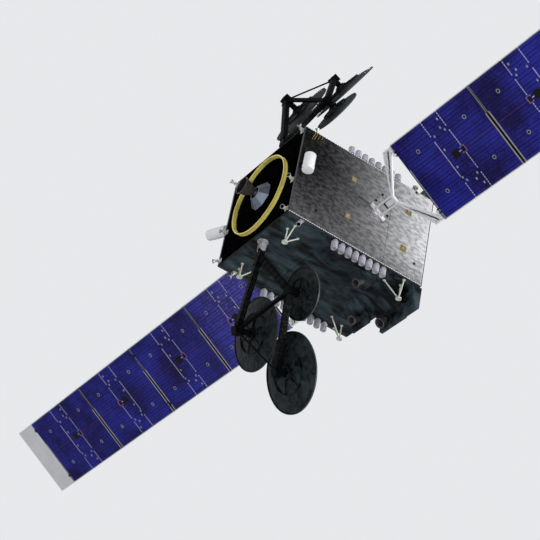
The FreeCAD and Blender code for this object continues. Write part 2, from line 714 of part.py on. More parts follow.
def wing_block(out0, out1, across0, across1, thick0, thick1):
    """Block in the wing's axes."""
    solid = Part.makeBox(across1 - across0, thick1 - thick0, out1 - out0)
    solid.Placement = frame_at(wing_point(out0, across0, thick1), V(0, -1, 0), WIDE)
    return solid


def wing_rod(out, across0, across1, thick, radius):
    return rod(wing_point(out, across0, thick), wing_point(out, across1, thick), radius)


def wing_bar(start, end, width, depth):
    return bar(wing_point(*start), wing_point(*end), width, depth, WIDE)


# Knuckles: the inner piece has the middle knuckle with its pin, the outer one the side knuckles
def knuckle_inner(out, across, thick, plate_face):
    half = KNUCKLE_LENGTH / 2
    low, high = sorted((plate_face - math.copysign(STRAP_T, thick), thick))
    strap = wing_block(out - STRAP_LENGTH, out, across - half, across + half, low, high)
    barrel = wing_rod(out, across - half, across + half, thick, KNUCKLE_R)
    pin = wing_rod(out, across - KNUCKLE_LENGTH, across + KNUCKLE_LENGTH, thick, KNUCKLE_PIN_R)
    return [strap, barrel, pin]


def knuckle_outer(out, across, thick, plate_face):
    half = KNUCKLE_LENGTH / 2
    low, high = sorted((plate_face - math.copysign(STRAP_T, thick), thick))
    solids = []
    cuts = []
    for way in (1, -1):
        near = across + way * (half + KNUCKLE_GAP)
        far = across + way * (KNUCKLE_LENGTH - KNUCKLE_GAP)
        low_w, high_w = sorted((near, far))
        solids.append(wing_block(out, out + STRAP_LENGTH, low_w, high_w, low, high))
        solids.append(wing_rod(out, low_w, high_w, thick, KNUCKLE_R))
        cuts.append(wing_rod(out, low_w - CUT, high_w + CUT, thick, KNUCKLE_PIN_R + KNUCKLE_GAP))
    return solids, cuts


def hinge_thick(index):
    """Offset of a fold line from the middle of the plates; index 0 is at the yoke."""
    if index == 0:
        return (RAIL_T / 2 + PANEL_T / 2 + STACK_GAP) / 2
    offset = (PANEL_T + STACK_GAP) / 2
    return offset if index % 2 == 0 else -offset


def hinge_out(index):
    return NORTH + WING_BASE + index * PANEL_PITCH


def build_panel(index):
    """Panel with its inner and outer hinge halves; index 1 is next to the yoke."""
    inner, outer = hinge_out(index - 1), hinge_out(index)
    half_w, half_t = PANEL_WIDTH / 2, PANEL_T / 2
    solids = [wing_block(inner + PANEL_GAP / 2, outer - PANEL_GAP / 2, -half_w, half_w,
                         -half_t, half_t)]
    cuts = []
    middle = (inner + outer) / 2
    for along in (-REST_ALONG, REST_ALONG):
        for across in (-REST_ACROSS, REST_ACROSS):
            low = wing_point(middle + along, across, -half_t - BOSS_RISE)
            high = wing_point(middle + along, across, half_t + BOSS_RISE)
            solids.append(rod(low, high, BOSS_R))
    for across in (-HINGE_ACROSS, HINGE_ACROSS):
        thick = hinge_thick(index - 1)
        more, holes = knuckle_outer(inner, across, thick, math.copysign(half_t, thick))
        solids += more
        cuts += holes
        thick = hinge_thick(index)
        solids += knuckle_inner(outer, across, thick, math.copysign(half_t, thick))
    panel = fused(solids)
    for hole in cuts:
        panel = panel.cut(hole)
    return panel


def build_flap():
    inner = hinge_out(PANEL_COUNT)
    half_w, half_t = PANEL_WIDTH / 2, PANEL_T / 2
    thick = hinge_thick(PANEL_COUNT)
    near, far = sorted((math.copysign(half_t, thick), math.copysign(half_t - FLAP_T, thick)))
    solids = [wing_block(inner + PANEL_GAP / 2, inner + FLAP_LENGTH, -half_w, half_w, near, far)]
    cuts = []
    for across in (-HINGE_ACROSS, HINGE_ACROSS):
        more, holes = knuckle_outer(inner, across, thick, math.copysign(half_t, thick))
        solids += more
        cuts += holes
    flap = fused(solids)
    for hole in cuts:
        flap = flap.cut(hole)
    return flap


# Yoke: two rails from the root pins, a head block, and two arms that spread to the panel's corners
def build_yoke():
    rail_end = FOLD_Y + RAIL_LENGTH
    base = NORTH + WING_BASE
    half_t = RAIL_T / 2
    solids, cuts = [], []
    for side in (1, -1):
        low = side * RAIL_SIDE - RAIL_WIDTH / 2
        high = side * RAIL_SIDE + RAIL_WIDTH / 2
        solids.append(wing_block(FOLD_Y, rail_end, low, high, -half_t, half_t))
        solids.append(wing_rod(FOLD_Y, low, high, 0, half_t))
        cuts.append(wing_rod(FOLD_Y, low - CUT, high + CUT, 0, ROOT_PIN_R + SHAFT_GAP))
        corner = base - YOKE_END
        inner, outer = side * RAIL_SIDE, side * YOKE_CORNER
        for out_in, out_out in ((rail_end - YOKE_FOOT, corner - YOKE_SPREAD), (rail_end, corner)):
            solids.append(wing_bar((out_in, inner, 0), (out_out, outer, 0), YOKE_ARM, RAIL_T))
        web = [wing_point(out, across, -half_t) for out, across in (
            (rail_end - YOKE_FOOT, inner), (rail_end, inner), (corner, outer),
            (corner - YOKE_SPREAD, outer))]
        solids.append(Part.Face(Part.makePolygon(web + web[:1])).extrude(THICK * YOKE_WEB))
        across = side * HINGE_ACROSS
        solids.append(wing_block(corner - YOKE_SPREAD - YOKE_ARM / 2, base - PANEL_GAP / 2,
                                 min(outer, outer + side * YOKE_ARM),
                                 max(outer, outer + side * YOKE_ARM), -half_t, half_t))
        solids.append(wing_block(corner - YOKE_ARM / 2, base - PANEL_GAP / 2,
                                 min(outer, across) - YOKE_ARM, max(outer, across) + YOKE_ARM,
                                 -half_t, half_t))
        solids += knuckle_inner(base, across, hinge_thick(0), half_t)
    solids.append(wing_block(rail_end - YOKE_BLOCK, rail_end, -RAIL_SIDE - RAIL_WIDTH / 2,
                             RAIL_SIDE + RAIL_WIDTH / 2, -half_t, half_t))
    solids.append(wing_block(FOLD_Y + YOKE_PLATE_START, rail_end - YOKE_BLOCK, -RAIL_SIDE,
                             RAIL_SIDE, -half_t, YOKE_PLATE_T - half_t))
    yoke = fused(solids)
    for hole in cuts:
        yoke = yoke.cut(hole)
    return yoke


# Hub: shaft in the drive, cross bar, and an ear on each side of each rail, on one pin per rail
def build_hub():
    bar_in = NORTH + DRIVE_HEIGHT + HUB_LIFT
    bar_out = bar_in + HUB_BAR_T
    half = HUB_BAR_WIDTH / 2
    solids = [rod(wing_point(NORTH + SHAFT_GAP, 0, 0), wing_point(bar_in + CUT, 0, 0), SHAFT_R),
              wing_block(bar_in, bar_out, -HUB_BAR / 2, HUB_BAR / 2, -half, half)]
    for side in (1, -1):
        centre = side * RAIL_SIDE
        edge = RAIL_WIDTH / 2 + EAR_GAP
        for way in (1, -1):
            near, far = sorted((centre + way * edge, centre + way * (edge + ROOT_EAR_T)))
            solids.append(wing_rod(FOLD_Y, near, far, 0, ROOT_EAR_R))
            solids.append(wing_block(bar_in + HUB_BAR_T / 2, FOLD_Y, near, far,
                                     -ROOT_EAR_R, ROOT_EAR_R))
        reach = edge + ROOT_EAR_T
        solids.append(wing_rod(FOLD_Y, centre - reach, centre + reach, 0, ROOT_PIN_R))
    return fused(solids)


def build_drive():
    start = wing_point(NORTH, 0, 0)
    end = wing_point(NORTH + DRIVE_HEIGHT, 0, 0)
    solids = [rod(start, end, DRIVE_R),
              rod(start, wing_point(NORTH + DRIVE_FLANGE_T, 0, 0), DRIVE_FLANGE_R)]
    lug_ring = (DRIVE_R + DRIVE_FLANGE_R) / 2
    for k in range(DRIVE_LUGS):
        turn = 2 * math.pi * (k + 0.5) / DRIVE_LUGS
        across, thick = lug_ring * math.cos(turn), lug_ring * math.sin(turn)
        solids.append(rod(wing_point(NORTH, across, thick),
                          wing_point(NORTH + DRIVE_FLANGE_T * 2, across, thick), DRIVE_LUG_R))
    return fused(solids).cut(rod(start, end, SHAFT_R + SHAFT_GAP))


# Seats on the radiator for the folded wing, about the middle of the folded stack
def build_array_rests():
    seats = []
    middle = DECK + WING_Z + YOKE_LENGTH - PANEL_PITCH / 2
    half = ARRAY_REST_SIDE / 2
    inner = half - ARRAY_REST_WALL
    top = -NORTH - ARRAY_REST_T
    base = -NORTH - ARRAY_REST_BASE
    for x in (-REST_ACROSS, REST_ACROSS):
        for z in (middle - REST_ALONG, middle + REST_ALONG):
            seat = box(x - half, x + half, top, -NORTH, z - half, z + half)
            seat = seat.cut(box(x - inner, x + inner, top, base, z - half, z + inner))
            cup = rod(V(x, base, z), V(x, top, z), ARRAY_REST_CUP_R)
            cup = cup.cut(rod(V(x, base, z), V(x, top, z), ARRAY_REST_CUP_BORE))
            seats.append(fused([seat, cup]))
    return Part.makeCompound(seats)


def build_wings():
    pieces = {"drive": build_drive(), "array_rests": build_array_rests(), "hub": build_hub(),
              "yoke": build_yoke(), "tip_flap": build_flap()}
    for index in range(1, PANEL_COUNT + 1):
        pieces[f"panel_{index}"] = build_panel(index)
    for name, shape in pieces.items():
        save(f"{name}_north", shape)
        save(f"{name}_south", mirrored_y(shape))


build_bus()
build_ring()
build_engine()
build_thrusters()
build_collectors()
build_feeds()
build_boom(build_dishes())
build_rests()
build_baffles()
build_wings()
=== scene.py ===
"""Finishes and fine detail of a communications satellite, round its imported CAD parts."""

import json
import math

import bmesh
import bpy
import numpy as np
from mathutils import Matrix, Vector


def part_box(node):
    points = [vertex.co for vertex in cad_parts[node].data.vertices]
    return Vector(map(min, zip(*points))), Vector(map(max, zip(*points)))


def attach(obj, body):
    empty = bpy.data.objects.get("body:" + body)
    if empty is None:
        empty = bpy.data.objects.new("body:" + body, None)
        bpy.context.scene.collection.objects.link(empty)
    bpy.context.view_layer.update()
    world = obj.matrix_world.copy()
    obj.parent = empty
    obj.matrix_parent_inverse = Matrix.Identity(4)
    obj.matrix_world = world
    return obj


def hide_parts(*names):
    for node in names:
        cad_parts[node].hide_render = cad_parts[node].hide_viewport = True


bl_info = {
    "name": "Communications satellite",
    "version": (1, 0, 0),
    "blender": (4, 5, 0),
    "location": "View3D > Sidebar > Satellite",
    "description": "Cells, blankets, mirror tiles and fittings for the satellite's CAD parts",
    "category": "Object",
}

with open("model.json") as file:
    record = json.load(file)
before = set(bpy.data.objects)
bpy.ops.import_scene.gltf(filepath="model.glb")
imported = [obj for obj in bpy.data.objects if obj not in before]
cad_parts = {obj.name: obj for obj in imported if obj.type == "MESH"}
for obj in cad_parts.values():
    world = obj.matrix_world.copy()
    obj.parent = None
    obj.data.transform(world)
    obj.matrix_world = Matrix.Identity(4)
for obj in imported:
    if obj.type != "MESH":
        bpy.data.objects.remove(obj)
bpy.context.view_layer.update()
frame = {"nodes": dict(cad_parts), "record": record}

ring_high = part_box("separation_ring")[1]
side_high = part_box("east_panel")[1]
radiator_low, radiator_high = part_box("north_radiator")
DECK, TOP = ring_high.z, radiator_high.z
EAST, NORTH = side_high.x, -radiator_low.y
UP = np.array([0.0, 0.0, 1.0])
EAST_WAY = np.array([1.0, 0.0, 0.0])
SOUTH_WAY = np.array([0.0, 1.0, 0.0])
UPSIDE_DOWN = np.diag([1.0, -1.0, -1.0])
BOTH = (-1, 1)
SIDES = (("east", 1), ("west", -1))
ENDS = (("north", -1), ("south", 1))

# Hint for the axes across a line, along which no line runs
SLANT = (0.13, 0.21, 1.0)
# How far a film's back is sunk, a dish's depth by its radius, the face of its hub behind the
# dish's deepest point, and the wing seats' wells from the radiator's middle line
FILM_SINK = 0.001
DISH_DEPTH_SHARE = 0.14
HUB_BELOW = 0.058
WELL_SPREAD = 0.435

# East side: each dish's rim centre, its horn's mouth, its radius, the length from its rim to the
# boom behind it, and its horn's mouth radius
DISHES = {"a": ((3.390, -0.130, 1.345), (1.455, -0.190, 2.935), 0.725, 0.330, 0.092),
          "b": ((2.670, 0.300, 0.725), (1.345, 0.260, 2.595), 0.675, 0.420, 0.082),
          "c": ((2.190, -0.740, 0.915), (1.255, -0.620, 2.025), 0.480, 0.300, 0.072)}
BOOM_FOOT = (1.355, -0.090, 0.265)

# Feed tower wedges: span along Y, top above the aft deck, reach and height of the lip, reach of
# the slanted face, and the face's foot below the top
TOWERS = (((-1.120, -0.760), 3.060, 0.460, 0.095, 0.460, 0.230),
          ((-0.760, -0.020), 3.060, 0.485, 0.075, 0.285, 0.610),
          ((-0.020, 0.500), 2.760, 0.385, 0.070, 0.225, 0.450),
          ((-0.800, -0.440), 2.240, 0.165, 0.040, 0.165, 0.370))

# Thrusters: foot on the wall, the wall's outward direction and the thrust line
THRUSTERS = [((x * 0.927, y * 1.082, 0.085), (0, 0, -1), (x * 0.45, y * 0.45, -1))
             for x in (1, -1) for y in (1, -1)]
THRUSTERS += [((x * 1.015, y * 1.082, 0.415), (x, 0, 0), (x, y * 0.35, -0.5))
              for x in (1, -1) for y in (1, -1)]
THRUSTERS += [((0.250, y * 1.082, 0.085), (0, 0, -1), (0, y * 0.5, -1)) for y in (1, -1)]

# Baffles: middle of the tube and the way its mouth faces
BAFFLES = {"north": ((-0.170, -1.304, 0.225), (-1, 0, 0)),
           "south": ((0.056217, 1.446923, 0.080802), (-0.155291, 0.965926, -0.258819))}

# Finishes: dark and pale screen colour, effect and its scale, roughness in the dark and pale
# parts, depth of the bump, share of metal, shine, and the span of the effect's value in use
CLOTH_AND_HIGHLIGHTS, GRAIN, STREAK, FIBRE = "Creased cloth and highlights", "Fine grain", "Drawn streaks", "Woven fibre"
USUAL, HIGHLIGHT_STROKES, DARKER = (0.25, 0.75), (0.42, 0.74), (0.2, 1.2)
FINISHES = {
    # The creased-cloth finishes blend in paler strokes as painted crease highlights
    "black_blanket": ((1, 1, 2), (8, 8, 9), CLOTH_AND_HIGHLIGHTS, 4, (0.5, 0.7), 0.012, 0, 0, HIGHLIGHT_STROKES),
    # dish_slate is partly the dishes' own dark blanket and partly painted shade, darkened like the
    # side panels
    "dish_slate": ((3, 4, 5), (38, 47, 50), CLOTH_AND_HIGHLIGHTS, 4.5, (0.4, 0.55), 0.02, 0, 0.12, HIGHLIGHT_STROKES),
    "dish_face": ((20, 23, 25), (40, 45, 48), FIBRE, 160, (0.42, 0.55), 0.0004, 0, 0.2),
    "dish_rim": ((40, 44, 46), (74, 78, 80), GRAIN, 90, (0.4, 0.55), 0.0005, 0.1, 0.2),
    "core": ((120, 122, 124), (140, 142, 144), GRAIN, 90, (0.5, 0.6), 0.001),
    "gold_seat": ((120, 100, 26), (186, 160, 58), GRAIN, 90, (0.3, 0.45), 0.0008, 0.5),
    "engine_metal": ((42, 38, 38), (96, 90, 88), STREAK, 60, (0.34, 0.5), 0.0008, 0.3),
    "silver_shield": ((100, 112, 132), (150, 162, 182), GRAIN, 14, (0.26, 0.4), 0.001, 0.5),
    # Darker copies of the shield's silver: painted shade on the facets that face away from the
    # light
    "painted_half_shade_shield": ((58, 62, 76), (126, 134, 152), GRAIN, 9, (0.28, 0.42), 0.001, 0.5),
    "painted_shade_shield": ((30, 32, 38), (88, 94, 108), GRAIN, 9, (0.3, 0.45), 0.001, 0.5),
    "thruster_metal": ((150, 148, 146), (212, 210, 208), STREAK, 60, (0.3, 0.45), 0.0005, 0.4),
    "collector_grey": ((118, 116, 124), (170, 168, 178), GRAIN, 90, (0.4, 0.55), 0.0006, 0.1),
    # Paler copy of the collectors' grey for the ribs: painted highlight
    "collector_rib_highlight": ((176, 174, 184), (226, 224, 234), GRAIN, 90, (0.4, 0.55), 0.0006, 0.1),
    "horn_grey": ((56, 54, 53), (94, 91, 89), STREAK, 60, (0.35, 0.5), 0.0006, 0.3),
    "rest_white": ((160, 162, 150), (204, 206, 196), GRAIN, 90, (0.45, 0.6), 0.0006),
    "hinge_grey": ((116, 115, 116), (176, 175, 177), STREAK, 60, (0.3, 0.45), 0.0006, 0.3),
    "flap_grey": ((186, 186, 188), (214, 213, 215), GRAIN, 90, (0.45, 0.6), 0.0006, 0, 0.2),
    "boom_black": ((2, 2, 2), (14, 16, 18), FIBRE, 90, (0.4, 0.55), 0.0005, 0, 0.04, DARKER),
    "boom_strap": ((8, 9, 10), (26, 29, 31), GRAIN, 90, (0.45, 0.6), 0.0005, 0, 0.1),
    "panel_back": ((12, 12, 14), (30, 30, 34), FIBRE, 90, (0.35, 0.5), 0.0005, 0, 0.3, DARKER),
    "dark_fitting": ((8, 8, 8), (26, 24, 22), GRAIN, 90, (0.4, 0.55), 0.0008, 0, 0.1),
    "tab_silver": ((196, 192, 212), (232, 230, 242), GRAIN, 90, (0.3, 0.45), 0.0004, 0.1, 0.2),
    "hinge_gold": ((116, 114, 112), (150, 148, 146), GRAIN, 90, (0.4, 0.55), 0.0005, 0, 0.2),
    "frame_bronze": ((134, 104, 110), (184, 148, 152), GRAIN, 90, (0.4, 0.55), 0.0005, 0, 0.2),
    "harness_red": ((54, 20, 48), (88, 34, 60), GRAIN, 90, (0.45, 0.6), 0.0006, 0, 0.2),
    "bell_inside": ((6, 6, 7), (22, 22, 24), STREAK, 60, (0.4, 0.6), 0.0006, 0, 0.15),
    "panel_face": ((4, 3, 16), (10, 7, 30), GRAIN, 60, (0.4, 0.55), 0.0004, 0, 0.06),
    "radiator_face": ((40, 40, 43), (66, 66, 70), GRAIN, 60, (0.4, 0.55), 0.0004, 0.3),
}


def rgb(red, green, blue):
    """Linear colour of a screen colour given from 0 to 255."""
    shares = np.array([red, green, blue]) / 255
    curved = ((shares + 0.055) / 1.055) ** 2.4
    return tuple(np.where(shares <= 0.04045, shares / 12.92, curved))


def length(label, words, value):
    return bpy.props.FloatProperty(name=label, description=words, default=value, unit="LENGTH")


def angle(label, words, degrees):
    return bpy.props.FloatProperty(name=label, description=words, default=math.radians(degrees),
                                   subtype="ANGLE")


def count(label, words, value):
    return bpy.props.IntProperty(name=label, description=words, default=value, min=1)


def colour(label, words, red, green, blue):
    return bpy.props.FloatVectorProperty(name=label, description=words, subtype="COLOR", size=3,
                                         default=rgb(red, green, blue), min=0, max=1)


class WingSizes(bpy.types.PropertyGroup):
    turn: angle("Wing turn", "Turn of both wings about their own axis", 32)
    axis_height: length("Axis height", "Height of the wings' axis", 1.881)
    base: length("First hinge", "From the bus centre to the first panel's hinge", 2.405)
    pitch: length("Panel pitch", "From one hinge line to the next", 2.198)
    gap: length("Panel gap", "Gap between two panels", 0.020)
    width: length("Panel width", "Width across a panel", 1.668)
    thick: length("Panel thickness", "Thickness of a panel", 0.025)
    cell_across: length("Cell width", "Width of one solar cell", 0.0576)
    cell_along: length("Cell length", "Length of one solar cell", 0.0325)
    cell_gap: length("Cell gap", "Gap between two cells along the wing", 0.0060)
    row_gap: length("Row gap", "Gap between two rows of cells", 0.0038)
    string_gap: length("String gap", "Extra gap on both sides of each third row of cells", 0.0060)
    bus_line: length("Bus line", "From a panel's middle to each line of tabs", 0.214)
    rest_along: length("Hold-down pitch", "From a panel's middle to its hold-downs", 0.645)
    rest_across: length("Hold-down spread", "From a panel's axis to its hold-downs", 0.435)
    flap_length: length("Flap length", "Length of the flap at the tip", 0.566)


class BodySizes(bpy.types.PropertyGroup):
    tiles_across: count("Tiles across", "Mirror tiles across a radiator", 48)
    tiles_up: count("Tiles up", "Mirror tiles up a radiator", 70)
    tile_gap: length("Tile gap", "Gap between two mirror tiles", 0.0016)
    tile_tilt: angle("Tile tilt", "How far a tile leans from flat", 0.5)
    fold: length("Fold size", "Size of a blanket's large folds", 0.115)
    crease: length("Crease size", "Size of a blanket's small creases", 0.038)
    puff: length("Blanket depth", "How far a blanket's folds stand off its panel", 0.014)
    cup_pitch: length("Cup pitch", "From one cup of a row to the next", 0.156)
    cup_ribs: count("Cup ribs", "Ribs round one cup", 16)
    ring_bolts: count("Ring bolts", "Bolts round the separation ring's flange", 60)


class Colours(bpy.types.PropertyGroup):
    cell_blue: colour("Cell blue", "Solar cells, in their bluer patches", 40, 44, 152)
    cell_violet: colour("Cell violet", "Solar cells, in their darker patches", 22, 14, 76)
    # Partly the blankets' own dark slate and partly painted shade: darkened to the look of the
    # shaded side panels
    slate: colour("Slate", "Side panels' blankets", 9, 12, 14)
    # Paler end of the side blankets: painted highlights on their creases
    slate_highlight: colour("Slate lights", "The side blankets' painted crease highlights", 58, 72, 78)
    # Mirror is the tiles' colour where their painted reflection is brightest
    mirror: colour("Mirror", "Mirror tiles, at their brightest", 226, 226, 228)
    gold: colour("Gold", "Separation ring", 236, 222, 116)
    white: colour("White", "Painted tubes, rails and pads", 226, 226, 228)


def sizes(group):
    return getattr(bpy.context.scene, "satellite_" + group)


# Surfaces


def unit(vectors):
    vectors = np.asarray(vectors, float)
    return vectors / np.linalg.norm(vectors, axis=-1, keepdims=True)


def across_axes(along, hint):
    """Two unit axes across a line: the hint less its share along the line, and their cross."""
    along = unit(along)
    hint = np.asarray(hint, float)
    first = unit(hint - along * np.sum(along * hint, axis=-1, keepdims=True))
    return first, np.cross(along, first)


def angles_round(number, start=0.0):
    return (np.arange(number) + start) * (2 * math.pi / number)


def ways_round(number, first, second, start=0.0):
    """Directions round a circle: each angle's cosine times one axis plus its sine times another.
    The start is a share of one step."""
    turn = angles_round(number, start)[:, None]
    return np.cos(turn) * first + np.sin(turn) * second


def spots(*numbers):
    """Places from their three coordinates, each one number or a row of numbers."""
    return np.stack(np.broadcast_arrays(*numbers), -1).astype(float)


def shell(grid, wrap_rows=False, wrap_columns=False):
    """Quads of a grid of points: each joins (i, j), (i, j+1), (i+1, j+1) and (i+1, j)."""
    rows, columns = grid.shape[:2]
    i = np.arange(rows - (not wrap_rows))[:, None]
    j = np.arange(columns - (not wrap_columns))[None, :]
    next_i, next_j = (i + 1) % rows, (j + 1) % columns
    corners = np.broadcast_arrays(i * columns + j, i * columns + next_j,
                                  next_i * columns + next_j, next_i * columns + j)
    return grid.reshape(-1, 3), np.stack(corners, -1).reshape(-1, 4)


def joined(parts):
    """One part of several: their points in a row, and each face counted on from those before."""
    parts = list(parts)
    starts = np.cumsum([0] + [len(points) for points, _ in parts[:-1]])
    return (np.concatenate([points for points, _ in parts]),
            np.concatenate([faces + start for (_, faces), start in zip(parts, starts)]))


def flipped(part):
    return part[0], part[1][:, ::-1]


def placed(part, origins, axes=np.eye(3)):
    """Copies of a part: a point is the copy's origin plus its x, y and z along its three axes."""
    points, faces = part
    origins = np.atleast_2d(origins)
    axes = np.broadcast_to(np.asarray(axes, float), (len(origins), 3, 3))
    moved = origins[:, None] + points @ axes
    steps = np.arange(len(origins))[:, None, None] * len(points)
    return moved.reshape(-1, 3), (faces[None] + steps).reshape(-1, 4)


def block(size_x, size_y, size_z):
    """Box about the origin: its eight corners are half of each size either way."""
    signs = np.stack(np.meshgrid(BOTH, BOTH, BOTH, indexing="ij"), -1).reshape(-1, 3)
    faces = [(0, 1, 3, 2), (4, 6, 7, 5), (0, 4, 5, 1), (2, 3, 7, 6), (0, 2, 6, 4), (1, 5, 7, 3)]
    return signs * (np.array([size_x, size_y, size_z]) / 2), np.array(faces)


def blocks(size, *places):
    return placed(block(*size), places)


def twins(x, y, z):
    """Two places, one on each side of y = 0."""
    return (x, -y, z), (x, y, z)


def turned(profile, sides=32):
    """Profile of (radius, height) points turned about Z: a point is radius times the cosine and
    sine of the angle, and its height."""
    profile = np.asarray(profile, float)
    turn = angles_round(sides)
    radius, height = (np.repeat(profile[:, k:k + 1], sides, 1) for k in (0, 1))
    return shell(np.stack([radius * np.cos(turn), radius * np.sin(turn), height], -1),
                 wrap_columns=True)


def turned_at(profile, origin, along, sides=32):
    """Turned profile whose height runs from the origin along a direction."""
    axes = np.stack([*across_axes(along, SLANT), unit(along)])
    return placed(turned(profile, sides), origin, axes)


def stud(radius, height):
    """Profile of a low round stud with a rounded edge, from its foot to the middle of its top."""
    return [(0, 0), (radius, 0), (radius, height * 0.7), (radius * 0.85, height), (0, height)]


def bolt(radius, height, spot, out, sides=6):
    return turned_at(stud(radius, height), spot, out, sides)


def hoop(inner, outer, low, high):
    """Profile of a ring with a rectangular section."""
    return [(inner, low), (outer, low), (outer, high), (inner, high), (inner, low)]


def rod(start, end, radius, sides):
    """Round bar: a circle carried from start to end, closed at both."""
    reach = np.linalg.norm(end - start)
    return turned_at([(0, 0), (radius, 0), (radius, reach), (0, reach)], start, end - start, sides)


def beam(start, end, width, depth, hint):
    """Rectangular bar from start to end: its width lies nearest to the hint."""
    axes = np.stack([*across_axes(end - start, hint), unit(end - start)])
    return placed(block(width, depth, np.linalg.norm(end - start)), (start + end) / 2, axes)


def carried(path, radius, hint, sides=8):
    """Round cable: a circle carried along a path, each end drawn in to the path's own point."""
    path = np.asarray(path, float)
    first, second = across_axes(np.gradient(path, axis=0), hint)
    turn = angles_round(sides)[:, None]
    rings = path[:, None] + radius * (np.cos(turn) * first[:, None]
                                      + np.sin(turn) * second[:, None])
    ends = [np.repeat(path[k:k + 1, None], sides, 1) for k in (0, len(path) - 1)]
    return shell(np.concatenate([ends[0], rings, ends[1]]), wrap_columns=True)


def creased(shape, fold_every, seed):
    """Heights of crumpled film on a grid, 0 to 1: random numbers at every few points, joined by
    straight slopes, for 0.7 of the height, and 0.3 at random from point to point."""
    draw = np.random.default_rng(seed)
    rows, columns = shape
    coarse = draw.random((rows // fold_every + 3, columns // fold_every + 3))
    row, column = np.arange(rows) / fold_every, np.arange(columns) / fold_every
    i, j = row.astype(int), column.astype(int)
    u, v = (row - i)[:, None], (column - j)[None, :]
    a, b = coarse[np.ix_(i, j)], coarse[np.ix_(i, j + 1)]
    c, d = coarse[np.ix_(i + 1, j)], coarse[np.ix_(i + 1, j + 1)]
    slopes = a * (1 - u) * (1 - v) + b * (1 - u) * v + c * u * (1 - v) + d * u * v
    return slopes * 0.7 + draw.random(shape) * 0.3


def face_grid(rows, columns):
    """Shares along a face's two edges on a grid, and 1 inside it and 0 on its border."""
    u, v = np.meshgrid(np.linspace(0, 1, rows + 1), np.linspace(0, 1, columns + 1), indexing="ij")
    inside = np.zeros(u.shape)
    inside[1:-1, 1:-1] = 1
    return u, v, inside


def film(face, inside, rise, outward, turned_over=False):
    """Closed film on a grid of points: the front is lifted outwards by the rise, the back is sunk
    a little inside the border, and both meet along it."""
    front = shell(face + rise[..., None] * outward)
    back = shell(face - inside[..., None] * outward * FILM_SINK)
    return joined([flipped(front), back] if turned_over else [front, flipped(back)])


def blanket(corner, edge_u, edge_v, outward, depth, seed):
    """Film over a flat face: the face's grid, shifted a little at random in its plane and lifted
    outwards by creased heights."""
    body = sizes("body")
    corner, edge_u, edge_v = (np.asarray(v, float) for v in (corner, edge_u, edge_v))
    outward = unit(outward)
    rows, columns = (max(3, round(np.linalg.norm(v) / body.crease)) for v in (edge_u, edge_v))
    u, v, inside = face_grid(rows, columns)
    draw = np.random.default_rng(seed + 1)
    u = u + inside * (draw.random(u.shape) - 0.5) * 0.6 / rows
    v = v + inside * (draw.random(u.shape) - 0.5) * 0.6 / columns
    rise = inside * (0.15 + creased(u.shape, max(2, round(body.fold / body.crease)), seed)) * depth
    face = corner + u[..., None] * edge_u + v[..., None] * edge_v - outward * FILM_SINK
    turned_over = np.cross(edge_v, edge_u) @ outward <= 0
    return film(face, inside, rise + inside * FILM_SINK, outward, turned_over)


# Places and pieces


def on_side(part, way):
    """East side's part, kept there or mirrored to the west side."""
    part = part[0] * np.array([way, 1.0, 1.0]), part[1]
    return flipped(part) if way < 0 else part


def on_end(part, way):
    """South end's part, kept there or mirrored to the north end."""
    part = part[0] * np.array([1.0, way, 1.0]), part[1]
    return flipped(part) if way < 0 else part


def on_wing(part, way):
    """Part given as out, across and thick, laid along a wing's axes: out from the bus, across a
    panel, and the way its cells face."""
    wing = sizes("wing")
    sine, cosine = math.sin(wing.turn), math.cos(wing.turn)
    axes = np.array([[0, way, 0], [sine, 0, cosine], [cosine, 0, -sine]])
    part = np.array([0, 0, wing.axis_height]) + part[0] @ axes, part[1]
    return flipped(part) if way < 0 else part


def new_object(name, data):
    obj = bpy.data.objects.new(name, data)
    bpy.context.scene.collection.objects.link(obj)
    return obj


def new_piece(name, part, body, slot, finish=None, sharp=35.0, stands_for=(), tones=None, uv=None):
    """Object with a part's mesh, riding a body and wearing a finish. Merging closes poles and
    seams and turns all faces outwards; loose cells and tiles, which have tones, need neither."""
    points, faces = part
    mesh = bpy.data.meshes.new(name)
    mesh.from_pydata(points.tolist(), [], faces.tolist())
    if tones is not None:
        mesh.attributes.new("tone", "FLOAT", "POINT").data.foreach_set(
            "value", np.asarray(tones, np.float32))
    if uv is not None:
        layer = mesh.uv_layers.new(name="UVMap")
        layer.data.foreach_set("uv", uv[faces.ravel()].astype(np.float32).ravel())
    if tones is None:
        work = bmesh.new()
        work.from_mesh(mesh)
        bmesh.ops.remove_doubles(work, verts=work.verts, dist=1e-6)
        bmesh.ops.recalc_face_normals(work, faces=work.faces)
        work.to_mesh(mesh)
        work.free()
    if tones is None and sharp:
        mesh.shade_smooth()
        mesh.set_sharp_from_angle(angle=math.radians(sharp))
    obj = new_object(name, mesh)
    mesh.materials.append(bpy.data.materials[finish or slot])
    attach(obj, body)
    if stands_for:
        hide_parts(*stands_for)


def pair(place, name, parts, slot, finish=None, body="bus", sharp=35.0):
    """A piece on each side or end from the same parts; its word stands in for {} in the names."""
    for word, way in SIDES if place is on_side else ENDS:
        new_piece(name.format(word), place(joined(parts), way), body.format(word), slot, finish,
                  sharp)


def panels():
    """Each panel's body, its wing's way, its number and its middle along the wing."""
    wing = sizes("wing")
    for end_name, end in ENDS:
        for index in range(1, 5):
            yield f"panel_{index}_{end_name}", end, index, wing.base + (index - 0.5) * wing.pitch


# Shader nodes


def add_node(tree, kind, sockets=None, **settings):
    """Node with its settings; an input given a socket is linked, and any other is set."""
    node = tree.nodes.new("ShaderNode" + kind)
    for key, value in settings.items():
        setattr(node, key, value)
    for key, value in (sockets or {}).items():
        if isinstance(value, bpy.types.NodeSocket):
            tree.links.new(value, node.inputs[key])
        else:
            node.inputs[key].default_value = value
    return node


